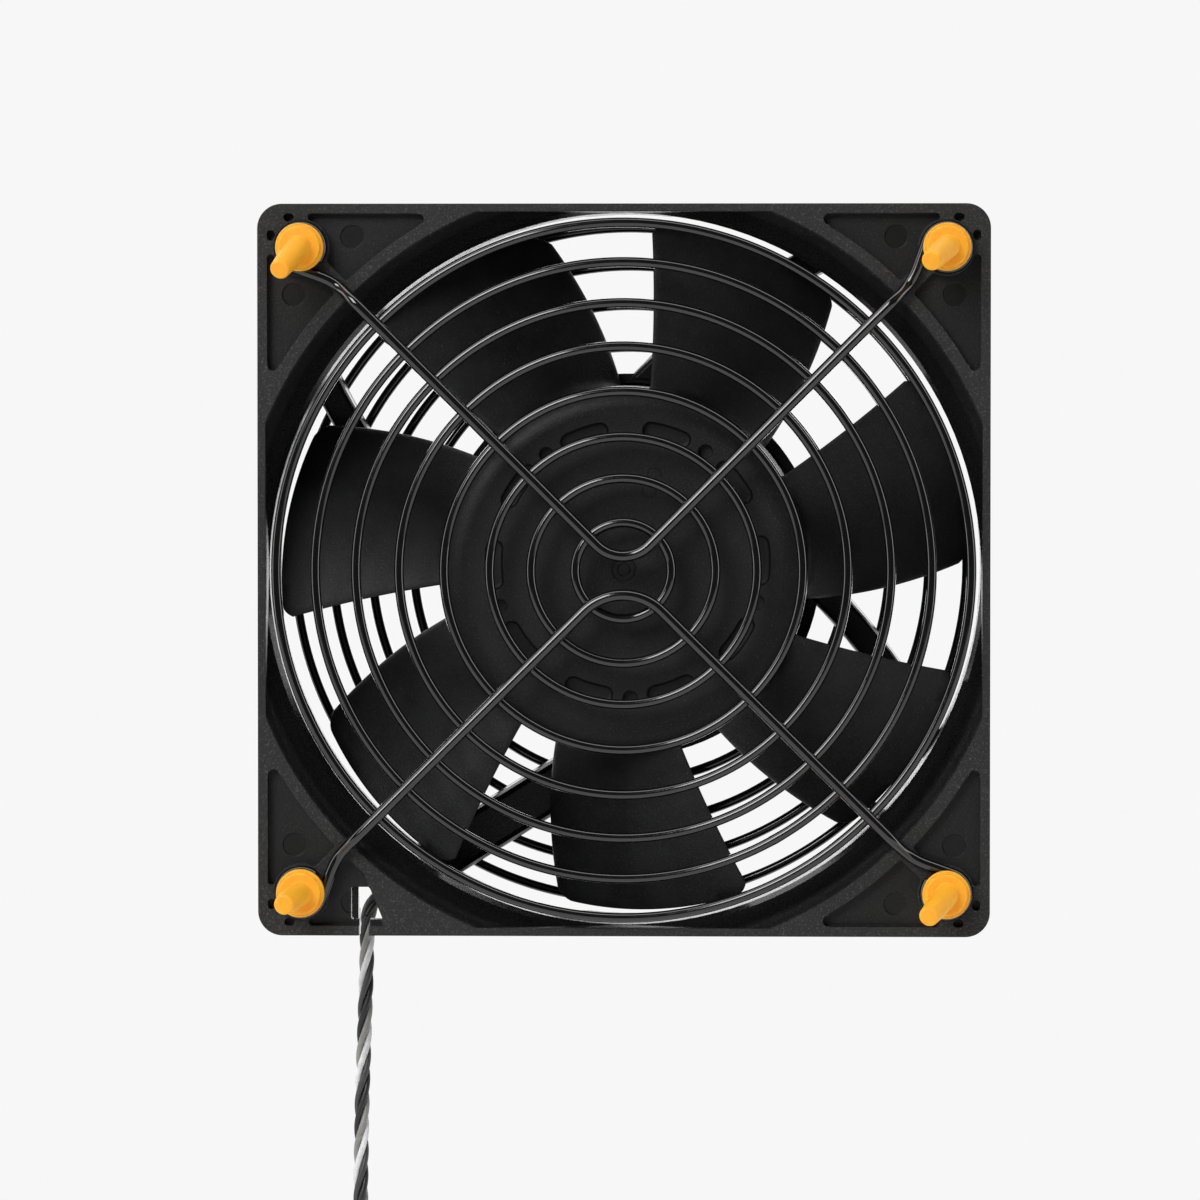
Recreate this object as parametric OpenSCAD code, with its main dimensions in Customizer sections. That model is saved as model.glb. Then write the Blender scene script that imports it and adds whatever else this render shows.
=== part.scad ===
// Case fan, 120 mm size, 38 mm deep: a moulded frame with a brushless motor, a seven-blade
// impeller, a wire guard on each face and soft pull-through mounting pins in the corners.
// X is to the right and Z is up as the intake face is seen. The air moves along +Y.
// The origin is the middle of the four front studs, in the plane where a panel meets them.

/* [Frame] */
// Width and height of the square frame
frame_w = 119; // [118.6:0.1:119.6]
// Depth of the frame from the intake face to the outlet face
frame_depth = 38.2; // [38:0.1:38.6]
// Radius of the frame's outer corners
corner_r = 4; // [3:0.5:4.5]
// Distance between neighbouring fixing holes
hole_spacing = 104.8; // [104.4:0.1:105.2]
// Diameter of the fixing holes in both flanges
hole_d = 4.6; // [4.5:0.1:4.8]
// Thickness of each flange
flange_t = 4.6; // [4.2:0.1:5]
// Radius of the duct around the blades, at the front
bore_r = 58.1; // [57.9:0.1:58.2]
// Radius of the duct behind the blades
bore_back_r = 58.6; // [58.2:0.1:58.7]
// Radius of the intake funnel where it meets the face
funnel_r = 63; // [62:0.5:63.5]
// Depth of the intake funnel
funnel_depth = 6; // [5:0.5:7]
// Half width of the straight-sided mouth that trims the funnel
mouth_half = 58.2; // [58.15:0.05:58.3]
// Depth of the corner pockets
pocket_depth = 2; // [1:0.2:2.4]

/* [Motor] */
// Radius of the round motor base behind the impeller
base_r = 32; // [31.5:0.5:33]
// Radius of the motor shaft
shaft_r = 2; // [1.9:0.1:2]
// Outer radius of the ball bearings
bearing_r = 4.5; // [4.4:0.1:4.6]
// Width of a ball bearing
bearing_w = 4; // [3.8:0.1:4]
// Number of balls in a bearing
ball_count = 7; // [6:1:8]
// Radius of the stator's pole faces
stator_r = 23; // [22:0.5:23]
// Number of stator poles
pole_count = 4; // [4]

/* [Impeller] */
// Number of blades
blade_count = 7; // [5:1:7]
// Radius of the hub
hub_r = 30; // [29.5:0.1:30.2]
// Radius of the blade tips
tip_r = 56.3; // [55:0.1:56.9]
// Depth of the hub's face behind the intake face
hub_depth = 4; // [3.9:0.1:4.2]
// Angle of the first blade's leading edge at the hub
blade_start = 133.4; // [0:0.2:360]
// Angle that a blade covers at the hub
root_span = 41; // [38:0.5:42]
// Angle that a blade covers at its tip
tip_span = 33; // [30:0.5:35]
// Forward sweep of the leading edge from hub to tip
blade_sweep = 3.6; // [0:0.2:6]

/* [Guard] */
// Diameter of the guard's ring wire
ring_wire = 1.6; // [1.4:0.1:1.7]
// Diameter of the guard's stay wire
stay_wire = 1.9; // [1.8:0.1:2]
// Distance of the ring wires' centres in front of the face
ring_gap = 1.5; // [1.3:0.1:1.6]

/* [Pins] */
// Radius of a front pin's stub, which a panel hole takes
stub_r = 1.85; // [1.7:0.05:2]
// Radius of a rear pin's stub
rear_stub_r = 1.7; // [1.6:0.05:1.8]
// Length of the stubs
stub_len = 8.5; // [7:0.5:10]
// Radius of the pin's collar
collar_r = 3.9; // [3.6:0.1:4]

/* [Lead] */
// Diameter of the twisted lead
lead_d = 2.6; // [2.4:0.1:2.8]
// Radius of the put-away coil at the middle of its turns
coil_r = 14.3; // [13:0.1:15.6]

/* [Hidden] */
$fn = 64;

// Colours
plastic = [0.11, 0.115, 0.12];
blade_plastic = [0.1, 0.105, 0.11];
wire_black = [0.05, 0.05, 0.05];
orange = [1, 0.6, 0.15];
steel = [0.72, 0.73, 0.75];
dark_steel = [0.4, 0.41, 0.43];
brass = [0.8, 0.65, 0.3];
copper = [0.75, 0.4, 0.2];
board_green = [0.1, 0.35, 0.2];
nylon = [0.85, 0.85, 0.8];

// Stack of a mounting pin in front of the face: the guard's eye, the collar and the small disc
collar_t = 1.7;
disc_t = 1;
disc_r = 3.35;
face_z = -(stay_wire + collar_t + disc_t);
mid_z = face_z - frame_depth / 2;
hole_at = hole_spacing / 2;
corners = [
    ["top_left", -1, 1], ["top_right", 1, 1],
    ["bottom_left", -1, -1], ["bottom_right", 1, -1]
];

// Duct, lips and pockets
duct_r = 59.9;
lip_r = 65;
rim_w = 1.6;
pocket_half = frame_w / 2 - rim_w;
boss_r = 4.6;
web_w = 2.6;
pocket_round = 0.6;
tip_round = 0.9;
tip_at = 33.3;
dimple_r = 1.9;
dimple_depth = 0.3;
over = 1;

// Motor base, seen by its depths behind the intake face
base_front = 33.6;
base_wall = 1.6;
floor_depth = frame_depth - 1.8;
label_recess = 0.3;
label_r = 27;
bearing_tube_r = 5.6;
collar_out_r = 7.4;
collar_front = 16;
plain_strut_w = 5.1;
plain_strut_at = [33, 22.8];
plain_strut_bend = 100;
plain_strut_angles = [-51, 39, 129];
plain_strut_chamfer = 1;
wire_strut_w = 8.3;
wire_strut_offset = 24.8;
wire_strut_angle = 212;
wire_strut_chamfer = 1.4;
wire_groove_w = 3.6;
wire_groove_depth = 34;
wire_groove_start = 8;
wire_groove_end = 60.8;
strut_end_r = 60.2;
strut_t = 4.8;
strut_draft = 0.2;

// Bearings
front_bearing_depth = 10;
rear_bearing_depth = 31.2;
ball_pitch_r = 3.25;
ball_r = 0.72;
race_r = 0.78;
inner_ring_r = 2.7;
outer_ring_r = 3.85;

// Stator and circuit board
core_front = 15.5;
core_back = 27.5;
board_depth = 33.9;
board_t = 1.2;
board_r = 26;
insulator_t = 1.2;
tooth_w = 7;

// Impeller
cup_wall = 1.6;
hub_back = 32.4;
shoulder_r = 5;
yoke_gap = 0.1;
yoke_t = 1.2;
yoke_back = 31;
magnet_front = 12;
magnet_back = 29;
magnet_t = 3.4;
bush_r = 4.4;
bush_back = 7.9;
blade_root_r = hub_r - 1;
root_lead_depth = 7;
root_trail_depth = 30;
tip_lead_depth = 9;
tip_trail_depth = 27.5;
blade_camber = 0.42;
root_t = 2.3;
blade_tip_t = 1.5;
blade_edge_t = 0.7;
blade_sections = 11;
chord_steps = 18;

// Guard
ring_radii = [7.8, 15, 21.7, 29.1, 36.4, 43.4, 50, 56.4];
ring_z = face_z + ring_gap;
stay_z = ring_z + (ring_wire + stay_wire) / 2 - 0.15;
eye_z = face_z + stay_wire / 2;
eye_r = 3.45;
upper_bend_r = 6;
lower_bend_r = 9;
joggle_start = hole_at * sqrt(2) - 12.4;
joggle_end = hole_at * sqrt(2) - 8;
eye_turn = 285;
joggle_steps = 6;
eye_steps = 22;
bend_steps = 10;
stay_sides = 12;

// Pin
shank_r = hole_d / 2 - 0.1;
head_r = 3.3;
head_len = 3;

// Lead: points are [x, depth, z], hand laid, from the circuit board to the bottom edge
inner_route = [
    [9, 34.6, -19.6], [6.4, 35, -24], [1, 35.3, -28.8], [-4.3, 35.4, -32], [-17.3, 35.4, -40.1],
    [-30.3, 35.4, -48], [-36.6, 35.3, -51.6], [-40.4, 33.6, -54], [-42.8, 31.4, -56.4],
    [-43.6, 30.2, -58.8]
];
// From the bottom edge down to the coil
lead_route = [
    [-43.6, 30.2, -58.8], [-43.7, 30, -61], [-43.8, 30, -66], [-44, 30, -72], [-44.2, 30, -78],
    [-44.4, 30, -84], [-44.6, 30, -90], [-44.7, 30, -96], [-44.8, 30, -102], [-44.8, 30, -109.1]
];
coil_x = -48;
coil_y = 30 - face_z;
coil_z = -126;
coil_section = 5.6;
tie_angle = 118;
end_top = -136.6;
housing_top = -141.2;
housing_w = 10.2;
housing_t = 5.6;
housing_l = 11.4;
contact_pitch = 2.54;
contact_w = 1.8;
wire_hole = 0.9;
latch_w = 1.2;
latch_l = 2.6;

// ---- Helpers ------------------------------------------------------------------------------

// Turns local z, which points out of the intake face, to -Y
module fan_space() { rotate([90, 0, 0]) children(); }

// Moves to a depth behind the intake face
module at_depth(d) { translate([0, 0, face_z - d]) children(); }

// A round disc or tube between two depths
module disc(r, front, back) { at_depth(back) cylinder(r = r, h = back - front); }
module tube(r_out, r_in, front, back) {
    difference() {
        disc(r_out, front, back);
        disc(r_in, front - over, back + over);
    }
}

// A body of revolution from [radius, depth] points
module turned(points) { rotate_extrude() polygon([for (p = points) [p[0], face_z - p[1]]]); }

// Puts a front piece on the rear face
module on_rear() { translate([0, 0, 2 * mid_z]) rotate([0, 180, 0]) children(); }

// A smooth curve through points, with steps points to each stretch
function spline(p, steps) = [
    for (i = [0 : len(p) - 2], s = [0 : steps - 1 + (i == len(p) - 2 ? 1 : 0)])
        let (a = p[max(i - 1, 0)], b = p[i], c = p[i + 1], d = p[min(i + 2, len(p) - 1)], t = s / steps)
            0.5 * (2 * b + t * (c - a) + t * t * (2 * a - 5 * b + 4 * c - d)
                + t * t * t * (3 * b - a - 3 * c + d))
];
function unit(v) = v / norm(v);
function reversed(list) = [for (i = [len(list) - 1 : -1 : 0]) list[i]];
function heading(p, i) = unit(p[min(i + 1, len(p) - 1)] - p[max(i - 1, 0)]);

// A tube swept along points; sideways is a direction that the path never takes
module sweep(p, r, sides, sideways) {
    n = len(p);
    ring = [
        for (i = [0 : n - 1])
            let (t = heading(p, i), u = unit(cross(t, sideways)), v = cross(t, u))
                for (k = [0 : sides - 1]) p[i] + r * (u * cos(360 * k / sides) + v * sin(360 * k / sides))
    ];
    walls = [
        for (i = [0 : n - 2], k = [0 : sides - 1])
            let (a = i * sides + k, b = i * sides + (k + 1) % sides)
                each [[a, b, b + sides], [a, b + sides, a + sides]]
    ];
    caps = [
        [for (k = [sides - 1 : -1 : 0]) k],
        [for (k = [0 : sides - 1]) (n - 1) * sides + k]
    ];
    polyhedron(points = ring, faces = [for (f = concat(walls, caps)) reversed(f)], convexity = 6);
}

// A route's [x, depth, z] points in the row's own axes
function placed(route) = [for (p = route) [p[0], p[1] - face_z, p[2]]];

// ---- Frame --------------------------------------------------------------------------------

module flange_outline() {
    offset(corner_r) square(frame_w - 2 * corner_r, center = true);
}

module duct_shell() {
    intersection() {
        turned([
            [56, 0], [lip_r, 0], [lip_r, flange_t - 0.5], [62, flange_t], [duct_r, 8.2],
            [duct_r, 30.5], [61, frame_depth - flange_t], [lip_r, frame_depth - flange_t + 0.5],
            [lip_r, frame_depth], [56, frame_depth]
        ]);
        translate([0, 0, mid_z]) cube([frame_w, frame_w, frame_depth], center = true);
    }
}

module flange(front) {
    at_depth(front + flange_t) linear_extrude(flange_t) flange_outline();
}

// The passage for the blades, a little wider behind them
module bore() {
    turned([
        [0, -over], [bore_r, -over], [bore_r, funnel_depth], [bore_back_r, 30],
        [bore_back_r, frame_depth + over], [0, frame_depth + over]
    ]);
}

// The mouth is a funnel that four straight sides trim
module mouth(r, depth) {
    intersection() {
        turned([
            [0, -over], [r, -over], [r, 0], [bore_r + 0.7, depth * 0.84], [bore_r, depth * 1.2],
            [bore_r - 1, depth * 1.2], [bore_r - 1, depth * 1.5], [0, depth * 1.5]
        ]);
        at_depth(depth * 2) linear_extrude(depth * 2 + 2 * over) square(2 * mouth_half, center = true);
    }
}

// One corner's two pocket lobes, in the quarter where x and y are positive
module pocket_lobes() {
    offset(pocket_round) offset(-pocket_round) difference() {
        translate([tip_at, tip_at]) square(pocket_half - tip_at);
        circle(lip_r, $fn = 180);
        translate([hole_at, hole_at]) circle(boss_r);
        rotate(45) translate([0, -web_w / 2]) square([frame_w, web_w]);
    }
    for (flip = [0, 1]) mirror([flip, -flip])
        translate([tip_at, pocket_half - tip_round - 0.05]) circle(tip_round);
}

module dimples() {
    for (p = [[-8.2, 1.8], [1.3, -7.6]]) translate([hole_at + p[0], hole_at + p[1]]) circle(dimple_r);
}

// Where the lip widens beside the wire exit, so the pocket stops at a slanted edge
module exit_lip() { polygon([[-42.4, -49], [-38.9, -58.5], [-24, -58.5], [-24, -44], [-40, -44]]); }

module face_pockets() {
    at_depth(pocket_depth) linear_extrude(pocket_depth + over) difference() {
        for (c = corners) scale([c[1], c[2]]) pocket_lobes();
        exit_lip();
    }
    at_depth(pocket_depth + dimple_depth) linear_extrude(pocket_depth) difference() {
        for (c = corners) scale([c[1], c[2]]) dimples();
        exit_lip();
    }
}

// The wire exit through the front flange: a window and a slot in the rim below it
module front_exit() {
    window = [[-44.5, -51.7], [-41.3, -51.7], [-39.1, -57], [-44.5, -57]];
    window_round = 0.4;
    slot_x = -43.1;
    slot_size = [1.7, 4.2];
    at_depth(flange_t + over) linear_extrude(flange_t + 2 * over) {
        offset(window_round) offset(-window_round) polygon(window);
        translate([slot_x, -frame_w / 2 - over]) square(slot_size);
    }
}

// The wire exit through the rear flange, open at the bottom edge
module rear_exit() {
    left = -45.4;
    right = -36.2;
    top = -51.2;
    bottom = -frame_w / 2 - over;
    at_depth(frame_depth + over) linear_extrude(flange_t + 2 * over)
        polygon([[left, top], [right, top], [-37.4, -57.6], [-40.6, bottom], [left, bottom]]);
}

module fixing_holes() {
    for (c = corners) translate([c[1] * hole_at, c[2] * hole_at, face_z - frame_depth - over])
        cylinder(d = hole_d, h = frame_depth + 2 * over);
}

// Half the section of a strut, as [half width, height]
function strut_half(w, chamfer) = [
    [w / 2, 0], [w / 2, chamfer / 2], [w / 2 - strut_draft, strut_t - chamfer],
    [w / 2 - strut_draft - 0.3 * chamfer, strut_t - 0.3 * chamfer], [w / 2 - chamfer, strut_t]
];

// A strut's section, with its middle at an offset
module strut_section(middle, w, chamfer) {
    half = strut_half(w, chamfer);
    polygon(concat([for (p = half) [middle + p[0], p[1]]], [for (p = reversed(half)) [middle - p[0], p[1]]]));
}

// Keeps a strut between the motor base and the duct
module trimmed_strut(angle) {
    intersection() {
        at_depth(frame_depth - 0.2) rotate(angle) children();
        tube(strut_end_r, base_r - 0.8, 30, frame_depth + over);
    }
}

// Three struts that bend a little as they run outwards, and a wide straight one for the wires
module struts() {
    for (a = plain_strut_angles) trimmed_strut(a)
        translate([plain_strut_at[0], plain_strut_at[1] - plain_strut_bend]) rotate(72)
            rotate_extrude(angle = 28, $fn = 240)
                strut_section(plain_strut_bend, plain_strut_w, plain_strut_chamfer);
    trimmed_strut(wire_strut_angle) rotate([90, 0, 90]) linear_extrude(strut_end_r)
        strut_section(wire_strut_offset, wire_strut_w, wire_strut_chamfer);
}

module motor_base() {
    tube(base_r, base_r - base_wall, base_front, frame_depth - 0.1);
    turned([
        [bearing_tube_r, collar_front], [collar_out_r, collar_front], [collar_out_r, 33],
        [collar_out_r + 0.8, floor_depth], [base_r - 0.5, floor_depth], [base_r - 0.5, frame_depth],
        [label_r + 0.2, frame_depth], [label_r + 0.2, frame_depth - label_recess],
        [bearing_r, frame_depth - label_recess], [bearing_r, floor_depth], [bearing_tube_r, floor_depth]
    ]);
}

// The channel that the wires lie in, open at the rear, from the motor base to the rear exit
module wire_groove() {
    run = wire_groove_end - wire_groove_start;
    at_depth(frame_depth + over) rotate(wire_strut_angle)
        translate([wire_groove_start, wire_strut_offset - wire_groove_w / 2, 0])
            cube([run, wire_groove_w, frame_depth + over - wire_groove_depth]);
}

module frame() {
    color(plastic) fan_space() difference() {
        union() {
            difference() {
                union() {
                    duct_shell();
                    flange(0);
                    flange(frame_depth - flange_t);
                }
                bore();
                mouth(funnel_r, funnel_depth);
                on_rear() mouth(59.6, 4);
                face_pockets();
                on_rear() face_pockets_rear();
                fixing_holes();
                front_exit();
                rear_exit();
            }
            struts();
            motor_base();
        }
        wire_groove();
    }
}

// The rear pockets are the same, but their widened lip is on the other side when turned round
module face_pockets_rear() { mirror([1, 0, 0]) face_pockets(); }

module rear_label() {
    color("dimgray") fan_space() disc(label_r, frame_depth - label_recess + 0.02, frame_depth - 0.08);
}

module bearing_plug() {
    color(wire_black) fan_space() disc(bearing_r - 0.05, floor_depth + 0.2, frame_depth - label_recess - 0.1);
}

module bearing_tube() {
    color(brass) fan_space() difference() {
        disc(bearing_tube_r, front_bearing_depth - 0.6, floor_depth);
        disc(bearing_r, 0, front_bearing_depth + bearing_w);
        disc(bearing_r - 0.6, 0, floor_depth + over);
        disc(bearing_r, rear_bearing_depth, floor_depth + over);
    }
}

// ---- Bearings -----------------------------------------------------------------------------

module race_groove(front) {
    at_depth(front + bearing_w / 2) rotate_extrude() translate([ball_pitch_r, 0]) circle(race_r);
}

module outer_ring(front) {
    color(steel) fan_space() difference() {
        tube(bearing_r, outer_ring_r, front, front + bearing_w);
        race_groove(front);
    }
}

module inner_ring(front) {
    color(steel) fan_space() difference() {
        tube(inner_ring_r, shaft_r, front, front + bearing_w);
        race_groove(front);
    }
}

module balls(front) {
    color(steel) fan_space() at_depth(front + bearing_w / 2) for (k = [0 : ball_count - 1])
        rotate(360 * k / ball_count) translate([ball_pitch_r, 0]) sphere(ball_r);
}

module cage(front) {
    middle = front + bearing_w / 2;
    color(brass) fan_space() difference() {
        tube(ball_pitch_r + 0.25, ball_pitch_r - 0.25, middle - 1.1, middle + 1.1);
        at_depth(middle) for (k = [0 : ball_count - 1]) rotate(360 * k / ball_count)
            translate([ball_pitch_r - 1, 0]) rotate([0, 90, 0]) cylinder(r = ball_r + 0.04, h = 2);
    }
}

module front_bearing_outer_ring() { outer_ring(front_bearing_depth); }
module front_bearing_inner_ring() { inner_ring(front_bearing_depth); }
module front_bearing_balls() { balls(front_bearing_depth); }
module front_bearing_cage() { cage(front_bearing_depth); }
module rear_bearing_outer_ring() { outer_ring(rear_bearing_depth); }
module rear_bearing_inner_ring() { inner_ring(rear_bearing_depth); }
module rear_bearing_balls() { balls(rear_bearing_depth); }
module rear_bearing_cage() { cage(rear_bearing_depth); }

module bearing_shields() {
    color(dark_steel) fan_space() for (front = [front_bearing_depth, rear_bearing_depth])
        for (side = [0, 1]) {
            d = front + (side == 0 ? 0.15 : bearing_w - 0.4);
            tube(outer_ring_r, inner_ring_r + 0.12, d, d + 0.25);
        }
}

// ---- Stator and circuit board --------------------------------------------------------------

module pole_outline(r_out) {
    yoke_r = 10.5;
    shoe_t = 2.6;
    shoe_slope = 0.83;
    difference() {
        union() {
            circle(yoke_r);
            for (k = [0 : pole_count - 1]) rotate(360 * k / pole_count) {
                translate([0, -tooth_w / 2]) square([r_out - 1, tooth_w]);
                intersection() {
                    difference() {
                        circle(r_out);
                        circle(r_out - shoe_t);
                    }
                    polygon([[0, 0], 2 * r_out * [1, -shoe_slope], 2 * r_out * [1, shoe_slope]]);
                }
            }
        }
        circle(collar_out_r);
    }
}

module stator_core() {
    color(dark_steel) fan_space() at_depth(core_back)
        linear_extrude(core_back - core_front) pole_outline(stator_r);
}

module insulator(front) {
    color(nylon) fan_space() at_depth(front + insulator_t)
        linear_extrude(insulator_t) pole_outline(stator_r - 0.4);
}
module front_insulator() { insulator(core_front - insulator_t); }
module rear_insulator() { insulator(core_back); }

module stator_coils() {
    coil_half = 6.2;
    coil_in = 11.6;
    coil_l = 7.6;
    coil_front = 12.2;
    coil_back = 30.6;
    color(copper) fan_space() for (k = [0 : pole_count - 1]) rotate(360 * k / pole_count) difference() {
        at_depth(coil_back) translate([coil_in, -coil_half, 0])
            cube([coil_l, 2 * coil_half, coil_back - coil_front]);
        at_depth(core_back + insulator_t)
            translate([coil_in - over, -tooth_w / 2, 0])
                cube([coil_l + 2 * over, tooth_w, core_back - core_front + 2 * insulator_t]);
    }
}

// A round board with a notch at its edge, where the wires start
module circuit_board() {
    notch_at = [8.4, -20];
    notch_angle = -118;
    notch_size = [14, 4];
    color(board_green) fan_space() difference() {
        tube(board_r, collar_out_r + 1, board_depth, board_depth + board_t);
        at_depth(board_depth + 2 * board_t) translate(notch_at) rotate(notch_angle)
            translate([-1.6, -notch_size[1] / 2, 0]) cube([notch_size[0], notch_size[1], 3 * board_t]);
    }
}

module part_on_board(x, y, w, h, tall) {
    at_depth(board_depth) translate([x - w / 2, y - h / 2, 0]) cube([w, h, tall]);
}
module driver_chip() { color(wire_black) fan_space() part_on_board(-16, 9, 6, 4.9, 1.5); }
module hall_sensor() { color(wire_black) fan_space() rotate(45) part_on_board(24.8, 0, 1.6, 4, 3.2); }
module capacitor() {
    color(steel) fan_space() at_depth(board_depth) translate([14, -14, 0]) cylinder(r = 2.5, h = 2.6);
}
module chip_resistors() {
    color(wire_black) fan_space() for (p = [[-18, 2], [-18, -1], [-15, -4], [12, 15], [15, 12]])
        part_on_board(p[0], p[1], 1.2, 2, 0.5);
}

// ---- Rotor --------------------------------------------------------------------------------

// Points of a quarter round shoulder, as [radius, depth]
function shoulder(r_out, r_bend, depth) = [
    for (a = [0 : 7.5 : 90]) [r_out - r_bend + r_bend * sin(a), depth + r_bend * (1 - cos(a))]
];

module hub() {
    inside = shoulder(hub_r - cup_wall, shoulder_r - cup_wall, hub_depth + cup_wall);
    difference() {
        turned(concat(
            [[0, hub_depth]], shoulder(hub_r, shoulder_r, hub_depth),
            [[hub_r, hub_back], [hub_r - cup_wall, hub_back]],
            reversed(inside), [[0, hub_depth + cup_wall]]
        ));
        hub_slots();
        disc(bush_r, hub_depth + 0.6, hub_depth + cup_wall + over);
    }
}

// Shallow arcs and blind holes that take balancing putty
module hub_slots() {
    slot_depth = 0.9;
    slot_in = 20.3;
    slot_out = 23.1;
    slot_angle = 14;
    at_depth(hub_depth + slot_depth) for (k = [0 : 9]) rotate(1 + 36 * k) {
        rotate(-slot_angle / 2) rotate_extrude(angle = slot_angle)
            translate([slot_in, 0]) square([slot_out - slot_in, slot_depth + over]);
        for (side = [-1, 1]) rotate(side * slot_angle / 2)
            translate([(slot_in + slot_out) / 2, 0])
                cylinder(d = slot_out - slot_in - 0.1, h = slot_depth + over);
    }
    for (k = [0 : 4]) rotate(55 + 72 * k) at_depth(hub_depth + 1.3)
        translate([22.4, 0]) cylinder(d = 2.4, h = 3);
}

function mix(a, b, t) = a + (b - a) * t;

// Half the blade's thickness at a share u of its chord
function blade_half_t(u, thick) =
    let (edge = min(u, 1 - u) / 0.04, round_off = edge < 1 ? sqrt(1 - pow(1 - edge, 2)) : 1)
        0.5 * round_off * (blade_edge_t + (thick - blade_edge_t) * sin(180 * pow(u, 0.8)));

// How much the tip is cut back near its two corners
function corner_cut(u) =
    1.5 * pow(max(0, 1 - u / 0.07), 2) + 1.6 * pow(max(0, 1 - (1 - u) / 0.07), 2);

// Shares of the chord, closer together at both edges
function chord_share(i) = (1 - cos(180 * i / chord_steps)) / 2;

// A point of the blade: v from hub to tip, u from leading to trailing edge, side 1 or -1
function blade_point(v, u, side) =
    let (
        r = mix(blade_root_r, tip_r - corner_cut(u), v),
        across = (r - hub_r) / (tip_r - hub_r),
        span = mix(root_span, tip_span, across),
        arc = span * PI / 180 * r,
        front = mix(root_lead_depth, tip_lead_depth, across),
        deep = mix(root_trail_depth, tip_trail_depth, across) - front,
        slope = deep * (1 - blade_camber + 2 * blade_camber * u),
        run = norm([arc, slope]),
        half = side * blade_half_t(u, mix(root_t, blade_tip_t, across)),
        s = arc * u - half * slope / run,
        d = front + deep * ((1 - blade_camber) * u + blade_camber * u * u) + half * arc / run,
        angle = blade_start + blade_sweep * across - s / r * 180 / PI
    ) [r * cos(angle), r * sin(angle), face_z - d];

module blade() {
    m = 2 * chord_steps;
    points = [
        for (j = [0 : blade_sections - 1]) let (v = j / (blade_sections - 1))
            for (i = [0 : m - 1])
                i <= chord_steps ? blade_point(v, chord_share(i), 1) : blade_point(v, chord_share(m - i), -1)
    ];
    walls = [
        for (j = [0 : blade_sections - 2], i = [0 : m - 1])
            let (a = j * m + i, b = j * m + (i + 1) % m) each [[a, b, b + m], [a, b + m, a + m]]
    ];
    last = (blade_sections - 1) * m;
    caps = [
        for (i = [0 : chord_steps - 1]) let (a = i, b = i + 1, c = (m - i - 1) % m, d = (m - i) % m)
            each concat(
                i == chord_steps - 1 ? [] : [[a, c, b], [last + a, last + b, last + c]],
                i == 0 ? [] : [[a, d, c], [last + a, last + c, last + d]]
            )
    ];
    polyhedron(points = points, faces = concat(walls, caps), convexity = 6);
}

module impeller() {
    color(blade_plastic) fan_space() {
        hub();
        for (k = [0 : blade_count - 1]) rotate(360 * k / blade_count) blade();
    }
}

module rotor_yoke() {
    r = hub_r - cup_wall - yoke_gap;
    bend = shoulder_r - cup_wall;
    front = hub_depth + cup_wall + yoke_gap;
    outside = shoulder(r, bend, front);
    inside = shoulder(r - yoke_t, bend - yoke_t, front + yoke_t);
    color(steel) fan_space() turned(concat(
        [[bush_r, front]], outside, [[r, yoke_back], [r - yoke_t, yoke_back]],
        reversed(inside), [[bush_r, front + yoke_t]]
    ));
}

module rotor_magnet() {
    r = hub_r - cup_wall - yoke_gap - yoke_t;
    color([0.2, 0.2, 0.21]) fan_space() tube(r, r - magnet_t, magnet_front, magnet_back);
}

module shaft() {
    groove_front = rear_bearing_depth + bearing_w + 0.35;
    color(steel) fan_space() difference() {
        disc(shaft_r, hub_depth + 0.6, floor_depth - 0.2);
        tube(shaft_r + over, shaft_r - 0.4, groove_front, groove_front + 0.35);
    }
}

module hub_bush() { color(brass) fan_space() tube(bush_r, shaft_r, hub_depth + 0.6, bush_back); }

module preload_spring() {
    turns = 2.5;
    mean_r = 2.55;
    wire_r = 0.22;
    rise = front_bearing_depth - bush_back - 2 * wire_r - 0.04;
    steps = 32;
    path = [
        for (i = [0 : steps]) let (a = 360 * turns * i / steps)
            [mean_r * cos(a), mean_r * sin(a), face_z - bush_back - wire_r - 0.02 - rise * i / steps]
    ];
    color(steel) fan_space() sweep(path, wire_r, 6, [0, 0, 1]);
}

module thrust_washer() {
    back = rear_bearing_depth + bearing_w;
    color(nylon) fan_space() tube(2.9, shaft_r, back + 0.02, back + 0.32);
}

module retaining_clip() {
    back = rear_bearing_depth + bearing_w + 0.36;
    color(dark_steel) fan_space() at_depth(back + 0.32) rotate(30) rotate_extrude(angle = 300)
        translate([shaft_r - 0.38, 0]) square([1.2, 0.3]);
}

// ---- Guards -------------------------------------------------------------------------------

module guard_rings() {
    for (r = ring_radii) translate([0, 0, ring_z])
        rotate_extrude($fn = 160) translate([r, 0]) circle(ring_wire / 2);
}

// One end of a stay, as [along the diagonal, across it, z]: a joggle down to the face, then an
// eye round the pin. Side is -1 where the eye starts on the other side of the pin.
function stay_end(side) =
    let (
        far = hole_at * sqrt(2),
        lean = acos(eye_r / (far - joggle_end)),
        joggle = [for (i = [0 : joggle_steps])
            let (t = i / joggle_steps)
                [mix(joggle_start, joggle_end, t), 0, mix(stay_z, eye_z, (1 - cos(180 * t)) / 2)]],
        eye = [for (i = [0 : eye_steps])
            let (a = side * (180 - lean - eye_turn * i / eye_steps))
                [far + eye_r * cos(a), eye_r * sin(a), eye_z]]
    ) concat(joggle, eye);

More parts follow.
